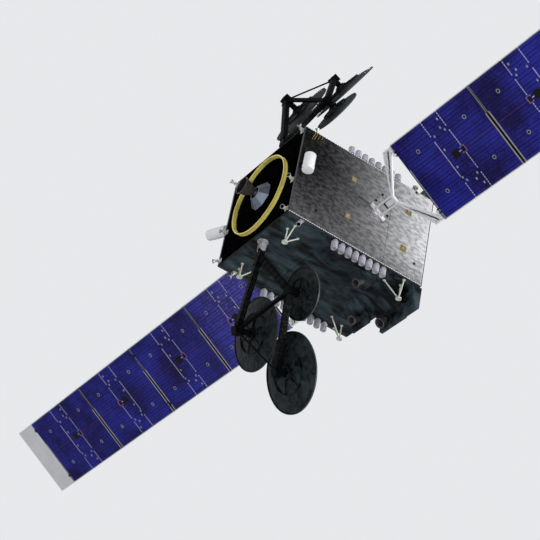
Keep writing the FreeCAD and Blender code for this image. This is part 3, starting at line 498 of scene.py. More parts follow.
def calc(tree, operation, first, second=0.0, third=0.0):
    return add_node(tree, "Math", {0: first, 1: second, 2: third},
                    operation=operation).outputs["Value"]


def noise(tree, vector, scale, detail, **more):
    sockets = {"Vector": vector, "Scale": scale, "Detail": detail, **more}
    return add_node(tree, "TexNoise", sockets).outputs["Fac"]


def mapped(tree, vector, rotation=(0.0, 0.0, 0.0), scale=(1.0, 1.0, 1.0)):
    return add_node(tree, "Mapping", {"Vector": vector, "Rotation": rotation,
                                      "Scale": scale}).outputs["Vector"]


def new_group(name):
    """Node group with a Vector and a Scale, which gives a Value for tone and a Height for bump."""
    tree = bpy.data.node_groups.new(name, "ShaderNodeTree")
    for label, way, kind in (("Vector", "INPUT", "Vector"), ("Scale", "INPUT", "Float"),
                             ("Value", "OUTPUT", "Float"), ("Height", "OUTPUT", "Float")):
        tree.interface.new_socket(label, in_out=way, socket_type="NodeSocket" + kind)
    given = tree.nodes.new("NodeGroupInput").outputs
    return tree, given["Vector"], given["Scale"]


def end_group(tree, value, height):
    result = tree.nodes.new("NodeGroupOutput")
    tree.links.new(value, result.inputs["Value"])
    tree.links.new(height, result.inputs["Height"])


def build_groups():
    """Shared effects that the finishes are made of."""
    # Creased cloth: the Value's pale strokes and folds are painted crease highlights; the Height
    # bumps the creases
    tree, vector, scale = new_group(CLOTH_AND_HIGHLIGHTS)
    slanted = mapped(tree, vector, (0.5, 0.2, 0.4), (1.0, 1.0, 0.5))
    highlight_strokes = noise(tree, slanted, scale, 5.0, Roughness=0.58, Distortion=1.1)
    folds = add_node(tree, "TexVoronoi", {
        "Vector": slanted, "Scale": calc(tree, "MULTIPLY", scale, 2.2)}).outputs["Distance"]
    value = calc(tree, "MULTIPLY_ADD", folds, 0.22, calc(tree, "SUBTRACT", highlight_strokes, 0.08))
    end_group(tree, value, calc(tree, "MULTIPLY_ADD", folds, 0.6, highlight_strokes))

    tree, vector, scale = new_group(GRAIN)
    soft = noise(tree, vector, scale, 6.0, Roughness=0.6)
    patches = calc(tree, "MULTIPLY", noise(tree, vector, 2.4, 3.0), 0.5)
    end_group(tree, calc(tree, "MULTIPLY_ADD", soft, 0.5, patches), soft)

    tree, vector, scale = new_group(STREAK)
    lines = noise(tree, mapped(tree, vector, scale=(1.0, 1.0, 0.06)), scale, 4.0)
    end_group(tree, lines, lines)

    tree, vector, scale = new_group(FIBRE)
    slanted = mapped(tree, vector, (0.0, 0.0, math.radians(45)))
    waves = [add_node(tree, "TexWave", {"Vector": slanted, "Scale": scale, "Distortion": 0.0},
                      bands_direction=way).outputs["Fac"] for way in ("X", "Y", "Z")]
    crossed = calc(tree, "ABSOLUTE", calc(tree, "SUBTRACT", waves[0], waves[1]))
    woven = calc(tree, "MULTIPLY_ADD", waves[2], 0.4, crossed)
    end_group(tree, woven, woven)


def emptied_tree(owner):
    owner.use_nodes = True
    owner.node_tree.nodes.clear()
    return owner.node_tree


def new_finish(name):
    """Emptied material with a new shader, and the texture coordinates that feed it."""
    tree = emptied_tree(bpy.data.materials.get(name) or bpy.data.materials.new(name))
    shader = add_node(tree, "BsdfPrincipled")
    add_node(tree, "OutputMaterial", {"Surface": shader.outputs["BSDF"]})
    return tree, shader, add_node(tree, "TexCoord").outputs["Object"]


def blend_colours(tree, share, low, high):
    mix = add_node(tree, "Mix", data_type="RGBA")
    tree.links.new(share, mix.inputs["Factor"])
    for socket, value in (("A", low), ("B", high)):
        target = [s for s in mix.inputs if s.name == socket and s.type == "RGBA"][0]
        if isinstance(value, bpy.types.NodeSocket):
            tree.links.new(value, target)
        else:
            target.default_value = (*value, 1.0)
    return [s for s in mix.outputs if s.type == "RGBA"][0]


def stretch_value(tree, value, low, high, out_low=0.0, out_high=1.0):
    node = add_node(tree, "MapRange", {"Value": value, "From Min": low, "From Max": high,
                                       "To Min": out_low, "To Max": out_high})
    return node.outputs["Result"]


def finish_shader(tree, shader, base, roughness, height, bump, strength, metallic, shine):
    """Feeds a shader: its colour, roughness and bump, whose depth is in metres, and its values."""
    tree.links.new(base, shader.inputs["Base Color"])
    tree.links.new(roughness, shader.inputs["Roughness"])
    bumped = add_node(tree, "Bump", {"Height": height, "Distance": bump, "Strength": strength})
    tree.links.new(bumped.outputs["Normal"], shader.inputs["Normal"])
    shader.inputs["Metallic"].default_value = metallic
    shader.inputs["Specular IOR Level"].default_value = shine


def plain_finish(name, low, high, effect, scale, roughness, bump, metallic=0.0, shine=0.4,
                 spread=USUAL):
    """Finish from one shared effect: its Value blends two colours and two roughnesses, and its
    Height makes the bump."""
    tree, shader, vector = new_finish(name)
    group = tree.nodes.new("ShaderNodeGroup")
    group.node_tree = bpy.data.node_groups[effect]
    tree.links.new(vector, group.inputs["Vector"])
    group.inputs["Scale"].default_value = scale
    value = group.outputs["Value"]
    base = blend_colours(tree, stretch_value(tree, value, *spread), low, high)
    finish_shader(tree, shader, base, stretch_value(tree, value, *spread, *roughness),
                  group.outputs["Height"], bump, 0.8, metallic, shine)


def build_finishes():
    colours = sizes("colours")
    slate, slate_highlight = tuple(colours.slate), tuple(colours.slate_highlight)
    gold, white = np.array(colours.gold), np.array(colours.white)
    plain_finish("slate_blanket", slate, slate_highlight, CLOTH_AND_HIGHLIGHTS, 3.2, (0.4, 0.55), 0.03, 0.0, 0.12,
                 HIGHLIGHT_STROKES)
    plain_finish("gold_ring", 0.8 * gold, gold, STREAK, 60.0, (0.36, 0.48), 0.0006, 0.2)
    plain_finish("white_paint", 0.88 * white, white, GRAIN, 90.0, (0.4, 0.55), 0.0006)
    for name, (low, high, *values) in FINISHES.items():
        plain_finish(name, rgb(*low), rgb(*high), *values)
    build_cell_finish(colours)
    build_mirror_finish(colours)


def build_cell_finish(colours):
    """Solar cells: blue to violet by cell and by patch, paler towards the south wing's root as a
    painted glint, with each cell's fine silver fingers and the silver lines at its two ends."""
    tree, shader, vector = new_finish("solar_cells")
    cell_tone = add_node(tree, "Attribute", attribute_name="tone").outputs["Fac"]
    patches = noise(tree, vector, 1.1, 3.0)
    share = calc(tree, "MULTIPLY_ADD", cell_tone, 0.34,
                 stretch_value(tree, patches, 0.34, 0.66, -0.2, 0.85))
    body = blend_colours(tree, share, tuple(colours.cell_violet), tuple(colours.cell_blue))
    # Painted glint: towards the south wing's root the cells blend into a pale violet, as if
    # sunlight glinted there
    south = add_node(tree, "SeparateXYZ", {"Vector": vector}).outputs["Y"]
    root = calc(tree, "MULTIPLY", stretch_value(tree, south, 2.4, 4.8, 0.7, 0.0),
                calc(tree, "GREATER_THAN", south, 0.0))
    root = calc(tree, "MULTIPLY", root, stretch_value(tree, cell_tone, 0.0, 1.0, 0.3, 1.0))
    body = blend_colours(tree, root, body, rgb(112, 106, 206))
    uv = add_node(tree, "UVMap", uv_map="UVMap").outputs["UV"]
    cell = add_node(tree, "SeparateXYZ", {"Vector": uv}).outputs
    finger = calc(tree, "LESS_THAN",
                  calc(tree, "FRACT", calc(tree, "MULTIPLY", cell["Y"], 18.0)), 0.07)
    middle = calc(tree, "ABSOLUTE", calc(tree, "SUBTRACT", cell["X"], 0.5))
    lines = calc(tree, "MAXIMUM", finger, calc(tree, "GREATER_THAN", middle, 0.475))
    base = blend_colours(tree, calc(tree, "MULTIPLY", lines, 0.14), body, rgb(150, 150, 190))
    finish_shader(tree, shader, base, stretch_value(tree, cell_tone, 0.0, 1.0, 0.14, 0.26),
                  noise(tree, vector, 30.0, 2.0), 0.0006, 0.5, 0.0, 0.06)
    shader.inputs["Coat Weight"].default_value = 0.02
    shader.inputs["Coat Roughness"].default_value = 0.18


def build_mirror_finish(colours):
    """Mirror tiles: pebbled, each with its own tone, and with a painted reflection. They brighten
    with the height above the aft deck to the power 2.5, and near the deck with the cube of the
    share from west to east; low on the west side they stay dark, as painted shade."""
    tree, shader, vector = new_finish("mirror_radiator")
    tone = add_node(tree, "Attribute", attribute_name="tone").outputs["Fac"]
    slanted = mapped(tree, vector, (0.0, 0.35, 0.0), (1.0, 1.0, 0.5))
    pebbles = noise(tree, slanted, 17.0, 1.0, Distortion=0.2)
    place = add_node(tree, "SeparateXYZ", {"Vector": vector}).outputs
    # Painted reflection: the tiles pale up the radiator and, near the aft deck, towards the east;
    # low in the west they stay dark as painted shade
    earth = calc(tree, "POWER", calc(tree, "SUBTRACT", place["Z"], DECK), 2.5)
    east = calc(tree, "POWER", stretch_value(tree, place["X"], -EAST, EAST), 3.0)
    reflection_climb = calc(tree, "MULTIPLY_ADD", east, -0.053, 0.068)
    floor = calc(tree, "MULTIPLY_ADD", east, 0.11, -0.002)
    painted_reflection = calc(tree, "MULTIPLY_ADD", earth, reflection_climb, floor)
    mottle = stretch_value(tree, pebbles, 0.36, 0.64, -0.5, 0.5)
    share = calc(tree, "MULTIPLY_ADD", mottle, calc(tree, "MULTIPLY_ADD", painted_reflection, 0.55, 0.03),
                 calc(tree, "MULTIPLY_ADD", tone, 0.02, painted_reflection))
    base = blend_colours(tree, share, rgb(13, 13, 14), tuple(colours.mirror))
    finish_shader(tree, shader, base, stretch_value(tree, pebbles, 0.3, 0.7, 0.4, 0.55), pebbles,
                  0.012, 0.5, 0.3, 0.04)


class SATELLITE_OT_finishes(bpy.types.Operator):
    """Build every finish and put it on the CAD nodes of its slot"""

    bl_idname = "satellite.finishes"
    bl_label = "Finishes"

    def execute(self, context):
        build_groups()
        build_finishes()
        other = {"solar_cells": "panel_face", "mirror_radiator": "radiator_face"}
        for entry in frame["record"]["subparts"]:
            wanted = entry["material_slot"]
            mesh = frame["nodes"][entry["node"]].data
            mesh.materials.clear()
            mesh.materials.append(bpy.data.materials[other.get(wanted, wanted)])
        return {"FINISHED"}


def mixed_output(tree, kind, share, first, second):
    mixed = add_node(tree, "MixShader", {0: share, 1: first, 2: second})
    add_node(tree, kind, {"Surface": mixed.outputs["Shader"]})


class SATELLITE_OT_stage(bpy.types.Operator):
    """Pale floor below the held satellite, soft lamps, and the camera"""

    bl_idname = "satellite.stage"
    bl_label = "Stage"

    def execute(self, context):
        scene = context.scene
        scene.view_settings.view_transform = "Standard"
        place, below_camera, target = Vector((22.39, -24.86, -12.455)), 0.05, Vector((0, 0, 1.6))
        self.add_camera(scene, place)
        self.add_floor(place.z - below_camera)
        self.add_world(scene)
        lamps = [("key", (18, -49, 45), 14.0, 42000.0), ("fill", (68, 8, -11), 20.0, 12000.0),
                 ("low", (14, -67, -11), 20.0, 14000.0), ("rim", (-49, 40, 29), 26.0, 24000.0),
                 ("glint", (20.5, 28, -9.8), 5.0, 90.0)]
        for name, spot, size, power in lamps:
            light = bpy.data.lights.new(name, "AREA")
            light.size = size
            light.energy = power
            lamp = new_object(name, light)
            lamp.location = spot
            aim = target - Vector(spot)
            lamp.rotation_mode = "QUATERNION"
            lamp.rotation_quaternion = aim.to_track_quat("-Z", "Y")
        return {"FINISHED"}

    def add_camera(self, scene, place):
        forward = Vector((-0.598, 0.710, 0.372)).normalized()
        up = Vector((-0.785, -0.425, -0.451))
        up = (up - forward * up.dot(forward)).normalized()
        data = bpy.data.cameras.new("camera")
        data.sensor_width = 36.0
        data.lens = 128.71
        data.clip_end = 1000.0
        camera = new_object("camera", data)
        turn = Matrix((forward.cross(up), up, -forward)).transposed()
        camera.matrix_world = Matrix.Translation(place) @ turn.to_4x4()
        scene.camera = camera

    def add_floor(self, floor_z):
        """Floor just below the camera, pale from above and clear from underneath"""
        half = 400.0
        corners = [(-half, -half), (half, -half), (half, half), (-half, half)]
        mesh = bpy.data.meshes.new("floor")
        mesh.from_pydata([(x, y, floor_z) for x, y in corners], [], [(0, 1, 2, 3)])
        floor = new_object("floor", mesh)
        material = bpy.data.materials.new("floor")
        tree = emptied_tree(material)
        paint = add_node(tree, "BsdfPrincipled", {"Base Color": (0.72, 0.72, 0.73, 1.0),
                                                  "Roughness": 0.9}).outputs["BSDF"]
        clear = add_node(tree, "BsdfTransparent").outputs["BSDF"]
        under = add_node(tree, "NewGeometry").outputs["Backfacing"]
        mixed_output(tree, "OutputMaterial", under, paint, clear)
        mesh.materials.append(material)

    def add_world(self, scene):
        """Sky that lights the satellite with one strength and shows behind it with another"""
        world = bpy.data.worlds.new("studio")
        scene.world = world
        tree = emptied_tree(world)
        path = add_node(tree, "LightPath").outputs
        seen = calc(tree, "MAXIMUM", path["Is Camera Ray"], path["Is Transmission Ray"])
        skies = [add_node(tree, "Background", {"Color": (*tint, 1.0), "Strength": strength})
                 for tint, strength in (((0.62, 0.64, 0.67), 0.5), ((0.80, 0.81, 0.83), 1.0))]
        mixed_output(tree, "OutputWorld", seen, *(sky.outputs["Background"] for sky in skies))


# Wings


def cell_plate():
    """Thin cell with two cropped corners, as a six-cornered slab, in out, across and thick."""
    wing = sizes("wing")
    a, b, crop, under, over = wing.cell_along / 2, wing.cell_across / 2, 0.005, 0.0004, 0.0006
    ring = np.array([(-a, -b), (a, -b), (a, b - crop), (a - crop, b), (-a + crop, b),
                     (-a, b - crop)])
    low = np.column_stack([ring, np.full(6, -under)])
    high = np.column_stack([ring, np.full(6, over)])
    faces = [(6, 7, 8, 11), (11, 8, 9, 10), (0, 5, 2, 1), (5, 4, 3, 2)]
    faces += [(k, (k + 1) % 6, 6 + (k + 1) % 6, 6 + k) for k in range(6)]
    return np.concatenate([low, high]), np.array(faces)


def cell_places():
    """Cell centres on one panel, as out and across from its middle: rows with wider gaps beside
    each third one, and columns in three fields between the lines of tabs."""
    wing = sizes("wing")
    rows, inner_columns, outer_columns, tab_strip = 25, 11, 22, 0.012
    row = np.arange(rows)
    across = row * (wing.cell_across + wing.row_gap)
    across += (row // 3 + (row + 2) // 3) * wing.string_gap
    across -= across.mean()
    step = wing.cell_along + wing.cell_gap
    inner = (np.arange(inner_columns) - inner_columns // 2) * step
    outer = inner[-1] + step + tab_strip + np.arange(outer_columns) * step
    out = np.concatenate([-outer[::-1], inner, outer])
    return np.stack(np.meshgrid(out, across, indexing="ij"), -1).reshape(-1, 2)


class SATELLITE_OT_solar_cells(bpy.types.Operator):
    """Cover each panel's sunny face with thin cells, each a little different in tone"""

    bl_idname = "satellite.solar_cells"
    bl_label = "Solar cells"

    def execute(self, context):
        wing = sizes("wing")
        plate, places = cell_plate(), cell_places()
        uv = plate[0][:, :2] / (wing.cell_along, wing.cell_across) + 0.5
        for name, end, index, middle in panels():
            cells = placed(plate, spots(places[:, 0] + middle, places[:, 1], wing.thick / 2))
            draw = np.random.default_rng(index + 10 * (end > 0))
            tones = np.repeat(draw.random(len(places)), len(plate[0]))
            new_piece(f"{name}_cells", on_wing(cells, end), name, "solar_cells", tones=tones,
                      uv=np.tile(uv, (len(places), 1)))
        return {"FINISHED"}


class SATELLITE_OT_panel_fittings(bpy.types.Operator):
    """Tabs, pads, rings, sensor plate, strips, lips, harness and back sheet of each panel"""

    bl_idname = "satellite.panel_fittings"
    bl_label = "Panel fittings"

    def execute(self, context):
        slots = {"edge_strips": "rest_white", "back_sheet": "solar_cells"}
        for name, end, index, middle in panels():
            for label, finish, parts in self.fittings(middle, 1 if index % 2 else -1):
                new_piece(f"{name}_{label}", on_wing(joined(parts), end), name,
                          slots.get(label, "hinge_grey"), finish)
        return {"FINISHED"}

    def fittings(self, middle, flip):
        """Each fitting's name, finish and parts; every second panel is turned end for end"""
        wing = sizes("wing")
        face = wing.thick / 2
        reach, half = (wing.pitch - wing.gap) / 2, wing.width / 2
        frame_out = middle + flip * wing.bus_line

        near_runs = [(-0.82, -0.52), (-0.40, -0.10), (0.10, 0.40), (0.52, 0.82)]
        far_runs = [(-0.82, -0.52), (-0.38, 0.35), (0.52, 0.82)]
        tab, tab_pitch, pad = (0.013, 0.031, 0.002), 0.0402, (0.030, 0.044, 0.005)
        tabs = []
        for line in BOTH:
            for low, high in near_runs if line * flip > 0 else far_runs:
                across = np.linspace(low, high, max(2, round((high - low) / tab_pitch)))
                tabs.append(placed(block(*tab), spots(middle + line * wing.bus_line, across,
                                                      face + 0.0007)))
        tabs.append(blocks((0.09, 0.010, 0.006), (frame_out - flip * 0.1, 0, face)))
        pads = [(0.14, -0.69), (0.08, -0.54), (0.14, -0.46), (-0.14, -0.47), (-0.14, -0.18),
                (-0.14, 0.20), (-0.185, 0.40), (-0.14, 0.48), (0.14, 0.48), (0.05, 0.56),
                (0.14, 0.69)]
        pads = [(middle + flip * out, across, face) for out, across in pads]
        tab_frame = [blocks((long, wide, 0.008), (frame_out + flip * out, across, face))
                     for out, across, long, wide in (
                         (0.05, 0, 0.008, 0.13), (-0.05, 0.05, 0.008, 0.03),
                         (-0.05, -0.05, 0.008, 0.03), (0, 0.061, 0.10, 0.008),
                         (0, -0.061, 0.10, 0.008))]
        plates = [blocks((0.155, 0.155, 0.012), (middle + flip * 0.02, 0, face)),
                  blocks((0.062, 0.075, 0.006), (frame_out, 0, face))]
        rests = [(middle + along * wing.rest_along, side * wing.rest_across, face)
                 for along in BOTH for side in BOTH]
        rest_ring = [(0.027, 0), (0.038, 0), (0.038, 0.0035), (0.035, 0.005), (0.027, 0.0035),
                     (0.027, 0)]
        edges = [blocks((2 * reach, 0.004, wing.thick + 0.001), *twins(middle, half - 0.001, 0)),
                 blocks((2 * reach, 0.017, 0.0016), *twins(middle, half - 0.0085, face))]

        def end_strip(wide, long, thick, setback, across, height=face):
            """Strips across both ends of the panel, set back from its edge."""
            return [blocks((wide, long, thick), (middle + way * (reach - setback), across, height))
                    for way in BOTH]

        narrow_across, narrow_long, wide_across, wide_long = -0.5395, 0.555, 0.2795, 1.075
        ends = [blocks((0.010 + 0.004 * way, narrow_long, 0.003),
                       (middle + way * (reach - 0.007), narrow_across, face)) for way in BOTH]
        wide_ends = end_strip(0.026, wide_long, 0.0034, 0.029, wide_across)
        dark_edges = end_strip(0.016, wide_long, 0.0030, 0.008, wide_across)
        lips = [lip for across, long in ((0.0, 1.16), (-0.757, 0.12), (0.757, 0.12))
                for lip in end_strip(0.009, long, 0.004, -0.0025, across, 0)]

        wire, run_inner, run_pitch = 0.0035, 0.20, 0.016
        wires = [blocks((2 * reach - 0.06, wire, wire), *twins(middle, wire, face + 0.001))]
        back = [blocks((2 * reach - 0.08, 0.012, 0.005),
                       *((middle, side * (run_inner + k * run_pitch), -face - 0.0015)
                         for side in BOTH for k in range(3)))]
        clips = middle + np.linspace(-reach + 0.12, reach - 0.12, 9)
        back += [placed(block(0.02, 0.075, 0.006),
                        spots(clips, side * (run_inner + run_pitch), -face - 0.002))
                 for side in BOTH]
        sheet = [blocks((2 * reach - 0.004, wing.width - 0.004, 0.0016), (middle, 0, -face))]
        return (("pads", None, [blocks(pad, *pads)]),
                ("tabs", "tab_silver", tabs), ("tab_frame", "frame_bronze", tab_frame),
                ("sensor_plate", "dark_fitting", plates),
                ("hold_down_rings", "thruster_metal", [placed(turned(rest_ring, 24), rests)]),
                ("hold_down_caps", "dark_fitting",
                 [placed(turned(stud(0.026, 0.004), 20), rests)]),
                ("edge_strips", None, edges), ("hinge_lips", "dark_fitting", lips),
                ("wide_hinge_strips", None, wide_ends),
                ("dark_hinge_edges", "dark_fitting", dark_edges),
                ("hinge_strips", "hinge_gold", ends), ("harness", "harness_red", wires),
                ("back_harness", "hinge_gold", back), ("back_sheet", "panel_back", sheet))


class SATELLITE_OT_tip_flaps(bpy.types.Operator):
    """Thin border and cross seams of the pale flap at each wing's tip"""

    bl_idname = "satellite.tip_flaps"
    bl_label = "Tip flaps"

    def execute(self, context):
        wing = sizes("wing")
        strip, face = 0.012, wing.thick / 2
        start = wing.base + 4 * wing.pitch + wing.gap / 2
        end = start + wing.flap_length - wing.gap / 2
        middle, edge = (start + end) / 2, (wing.width - strip) / 2
        parts = [blocks((strip, wing.width, 0.003), (start + strip / 2, 0, face),
                        (end - strip / 2, 0, face)),
                 blocks((end - start, strip, 0.003), (middle, edge, face), (middle, -edge, face)),
                 blocks((end - start, 0.004, 0.002),
                        *((middle, across, face) for across in (-0.42, 0.0, 0.42)))]
        pair(on_wing, "tip_flap_{}_border", parts, "flap_grey", "tab_silver", "tip_flap_{}")
        return {"FINISHED"}


# Bus


class SATELLITE_OT_radiators(bpy.types.Operator):
    """Mirror tiles, edge strips, seat lines and seams of the two radiators"""

    bl_idname = "satellite.radiators"
    bl_label = "Radiators"

    def execute(self, context):
        body = sizes("body")
        margin = 0.016
        wide = (2 * EAST - 2 * margin) / body.tiles_across
        tall = (TOP - DECK - 2 * margin) / body.tiles_up
        x = -EAST + margin + (np.arange(body.tiles_across) + 0.5) * wide
        z = DECK + margin + (np.arange(body.tiles_up) + 0.5) * tall
        x, z = (grid.ravel() for grid in np.meshgrid(x, z, indexing="ij"))
        tile = block(wide - body.tile_gap, 0.002, tall - body.tile_gap)
        for name, end in ENDS:
            draw = np.random.default_rng(40 + end)
            lean = draw.normal(0, body.tile_tilt, (len(x), 2))
            axes = np.tile(np.eye(3), (len(x), 1, 1))
            axes[:, 0, 1], axes[:, 2, 1] = lean.T
            tones = np.repeat(draw.random(len(x)), len(tile[0]))
            tiles = on_end(placed(tile, spots(x, NORTH, z), axes), end)
            new_piece(f"{name}_radiator_tiles", tiles, "bus", "mirror_radiator", tones=tones)
        strip, strip_pitch, strip_inset, end_margin = (0.012, 0.005, 0.034), 0.05, 0.008, 0.02
        levels = np.arange(DECK + end_margin, TOP - end_margin, strip_pitch)
        strips = [placed(block(*strip), spots(side * (EAST - strip_inset), NORTH, levels))
                  for side in BOTH]
        line, line_middle, seam_heights = (0.008, 0.004, 1.18), 1.91, (0.26, 0.86, 2.1)
        lines = [blocks(line, *((side * WELL_SPREAD, NORTH, line_middle) for side in BOTH))]
        seams = [blocks((2 * EAST - 2 * end_margin, 0.0036, 0.006),
                        *((0, NORTH, DECK + height) for height in seam_heights))]
        pair(on_end, "{}_radiator_strips", strips, "white_paint")
        pair(on_end, "{}_seat_lines", lines, "hinge_grey", "hinge_gold")
        pair(on_end, "{}_radiator_seams", seams, "hinge_grey", "dark_fitting")
        return {"FINISHED"}


class SATELLITE_OT_blankets(bpy.types.Operator):
    """Crumpled blankets over the side panels and both decks, with their edge tapes"""

    bl_idname = "satellite.blankets"
    bl_label = "Blankets"

    def execute(self, context):
        puff = sizes("body").puff
        inset, half_y, rows = 0.006, side_high.y, 3
        height = TOP - DECK - 2 * inset
        for k, (name, side) in enumerate(SIDES):
            parts = [blanket((EAST, column * half_y - half_y, DECK + inset + height * row / rows),
                             (0, half_y, 0), (0, 0, height / rows), EAST_WAY, puff,
                             100 * k + 10 * row + column)
                     for row in range(rows) for column in range(2)]
            new_piece(f"{name}_blanket", on_side(joined(parts), side), "bus", "slate_blanket",
                      sharp=None)
        for name, z, way, seed in (("aft", DECK, -1, 301), ("earth", TOP, 1, 302)):
            part = blanket((-EAST + inset, -half_y, z), (2 * (EAST - inset), 0, 0),
                           (0, 2 * half_y, 0), UP * way, puff * 0.6, seed)
            new_piece(f"{name}_blanket", part, "bus", "black_blanket", sharp=None)
        tapes = [blocks((0.016, 2 * half_y, 0.016), (side * (EAST - inset), 0, z))
                 for side in BOTH for z in (DECK + inset, TOP - inset)]
        new_piece("edge_tapes", joined(tapes), "bus", "black_blanket", "dark_fitting")
        return {"FINISHED"}


class SATELLITE_OT_collectors(bpy.types.Operator):
    """Ribbed cups of the four collector rows"""

    bl_idname = "satellite.collectors"
    bl_label = "Collectors"

    def execute(self, context):
        body = sizes("body")
        outline = [(0, 0), (0.667, 0), (0.667, 0.205), (1, 0.205), (1, 0.277), (0.924, 0.277),
                   (0.80, 0.928), (0.879, 0.928), (0.879, 0.974), (0.80, 1), (0.667, 1),
                   (0.59, 0.969), (0, 0.969)]
        around = ways_round(body.cup_ribs, SOUTH_WAY, UP)
        axes = np.stack([around, np.cross(around, EAST_WAY),
                         np.broadcast_to(EAST_WAY, around.shape)], 1)
        for short, way in (("ne", 1), ("se", 1), ("nw", -1), ("sw", -1)):
            node = f"collectors_{short}"
            low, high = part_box(node)
            radius, reach = (high.y - low.y) / 2, high.x - low.x
            middle_y = (low.y + high.y) / 2
            foot = low.x if way > 0 else high.x
            number = round((high.z - low.z - 2 * radius) / body.cup_pitch) + 1
            cup = np.array(outline) * (radius, reach)
            rib = block(radius * 0.14, radius * 0.10, reach * 0.64)
            cups, ribs = [], []
            for z in np.linspace(low.z + radius, high.z - radius, number):
                cups.append(turned_at(cup, (foot, middle_y, z), (way, 0, 0)))
                middle = np.array([foot + way * reach * 0.6, middle_y, z])
                ribs.append(placed(rib, middle + around * radius * 0.87, axes))
            new_piece(f"{node}_cups", joined(cups), "bus", "collector_grey", stands_for=(node,))
            # The ribs wear a paler copy of the cups' grey: painted highlights down each cup
            new_piece(f"{node}_ribs", joined(ribs), "bus", "collector_grey", "collector_rib_highlight")
        return {"FINISHED"}


class SATELLITE_OT_ring_and_engine(bpy.types.Operator):
    """Groove, bolts and gussets of the separation ring, the bell's lining, and the shield's
    facets, seams and rivets"""

    bl_idname = "satellite.ring_and_engine"
    bl_label = "Ring and engine"

    def execute(self, context):
        outer = ring_high.x
        bolt_inset, bolt_depth, gusset_inset, gusset_depth = 0.006, 0.024, 0.033, 0.034
        groove = turned(hoop(outer - 0.002, outer + 0.0008, 0.008, 0.013), 128)
        new_piece("ring_groove", groove, "bus", "gold_ring", "gold_seat")
        around = ways_round(sizes("body").ring_bolts, EAST_WAY, SOUTH_WAY)
        bolts = placed(turned(stud(0.0045, 0.005), 6),
                       around * (outer - bolt_inset) + UP * (DECK - bolt_depth), UPSIDE_DOWN)
        new_piece("ring_bolts", bolts, "bus", "gold_ring", "thruster_metal")
        inwards = np.stack([around, np.cross(UP, around), np.broadcast_to(UP, around.shape)], 1)
        places = around * (outer - gusset_inset) + UP * (DECK - gusset_depth)
        gussets = placed(block(0.016, 0.004, 0.060), places[::3], inwards[::3])
        new_piece("ring_gussets", gussets, "bus", "gold_ring")

        throat, throat_r, flare, bell_long, thin = DECK - 0.165, 0.033, 0.128, 0.285, 0.0012
        flared, along = np.array([(0, 0.02), (0.42, 0.24), (0.75, 0.56), (1, 0.995)]).T
        wall = np.column_stack([throat_r + flare * flared, throat - bell_long * along])
        lining = np.concatenate([wall, wall[::-1] - (thin, 0), wall[:1]])
        new_piece("bell_lining", turned(lining, 64), "bus", "engine_metal", "bell_inside")
        self.add_shield()
        return {"FINISHED"}

    def add_shield(self):
        """Eight facets, in three tones of painted light and shade by the way each faces, from a
        wide ring of corners at the deck to a narrow one at the engine's neck"""
        ways = ways_round(8, EAST_WAY, SOUTH_WAY, 0.5)
        edges = list(zip(ways, np.roll(ways, -1, 0)))
        wide, narrow, crumple, rivet_r = 0.298, 0.1395, 0.004, 0.292
        deck, neck = UP * (DECK - 0.002), UP * (DECK - 0.148)
        # Painted light and shade: the facet facing the light keeps the silver, the next wears a
        # half-shaded copy and the other six a shaded copy
        tones = {"painted_lit": (None, [6]), "half": ("painted_half_shade_shield", [7]),
                 "painted_shade": ("painted_shade_shield", range(6))}
        for tone, (finish, numbers) in tones.items():
            facets = []
            for k in numbers:
                start, end = edges[k]
                u, v, inside = face_grid(6, 8)
                rise = inside * np.random.default_rng(90 + k).random(inside.shape) * crumple
                u, v = u[..., None], v[..., None]
                near, far = start * wide + deck, end * wide + deck
                low, other = start * narrow + neck, end * narrow + neck
                face = (near * (1 - v) + far * v) * (1 - u) + (low * (1 - v) + other * v) * u
                facets.append(film(face, inside, rise, unit(np.cross(low - near, far - near))))
            new_piece(f"shield_{tone}_facets", joined(facets), "bus", "silver_shield", finish,
                      sharp=None)
        seams = [rod(way * 0.3 + UP * DECK, way * 0.1385 + UP * (DECK - 0.149), 0.003, 6)
                 for way in ways]
        rivets = []
        for start, end in edges:
            for share in np.linspace(0.1, 0.9, 7):
                base = (start * (1 - share) + end * share) * rivet_r + UP * (DECK - 0.012)
                rivets.append(bolt(0.0035, 0.003, base, start + end - UP, 8))
        new_piece("shield_seams", joined(seams), "bus", "silver_shield")
        new_piece("shield_rivets", joined(rivets), "bus", "silver_shield", "tab_silver")


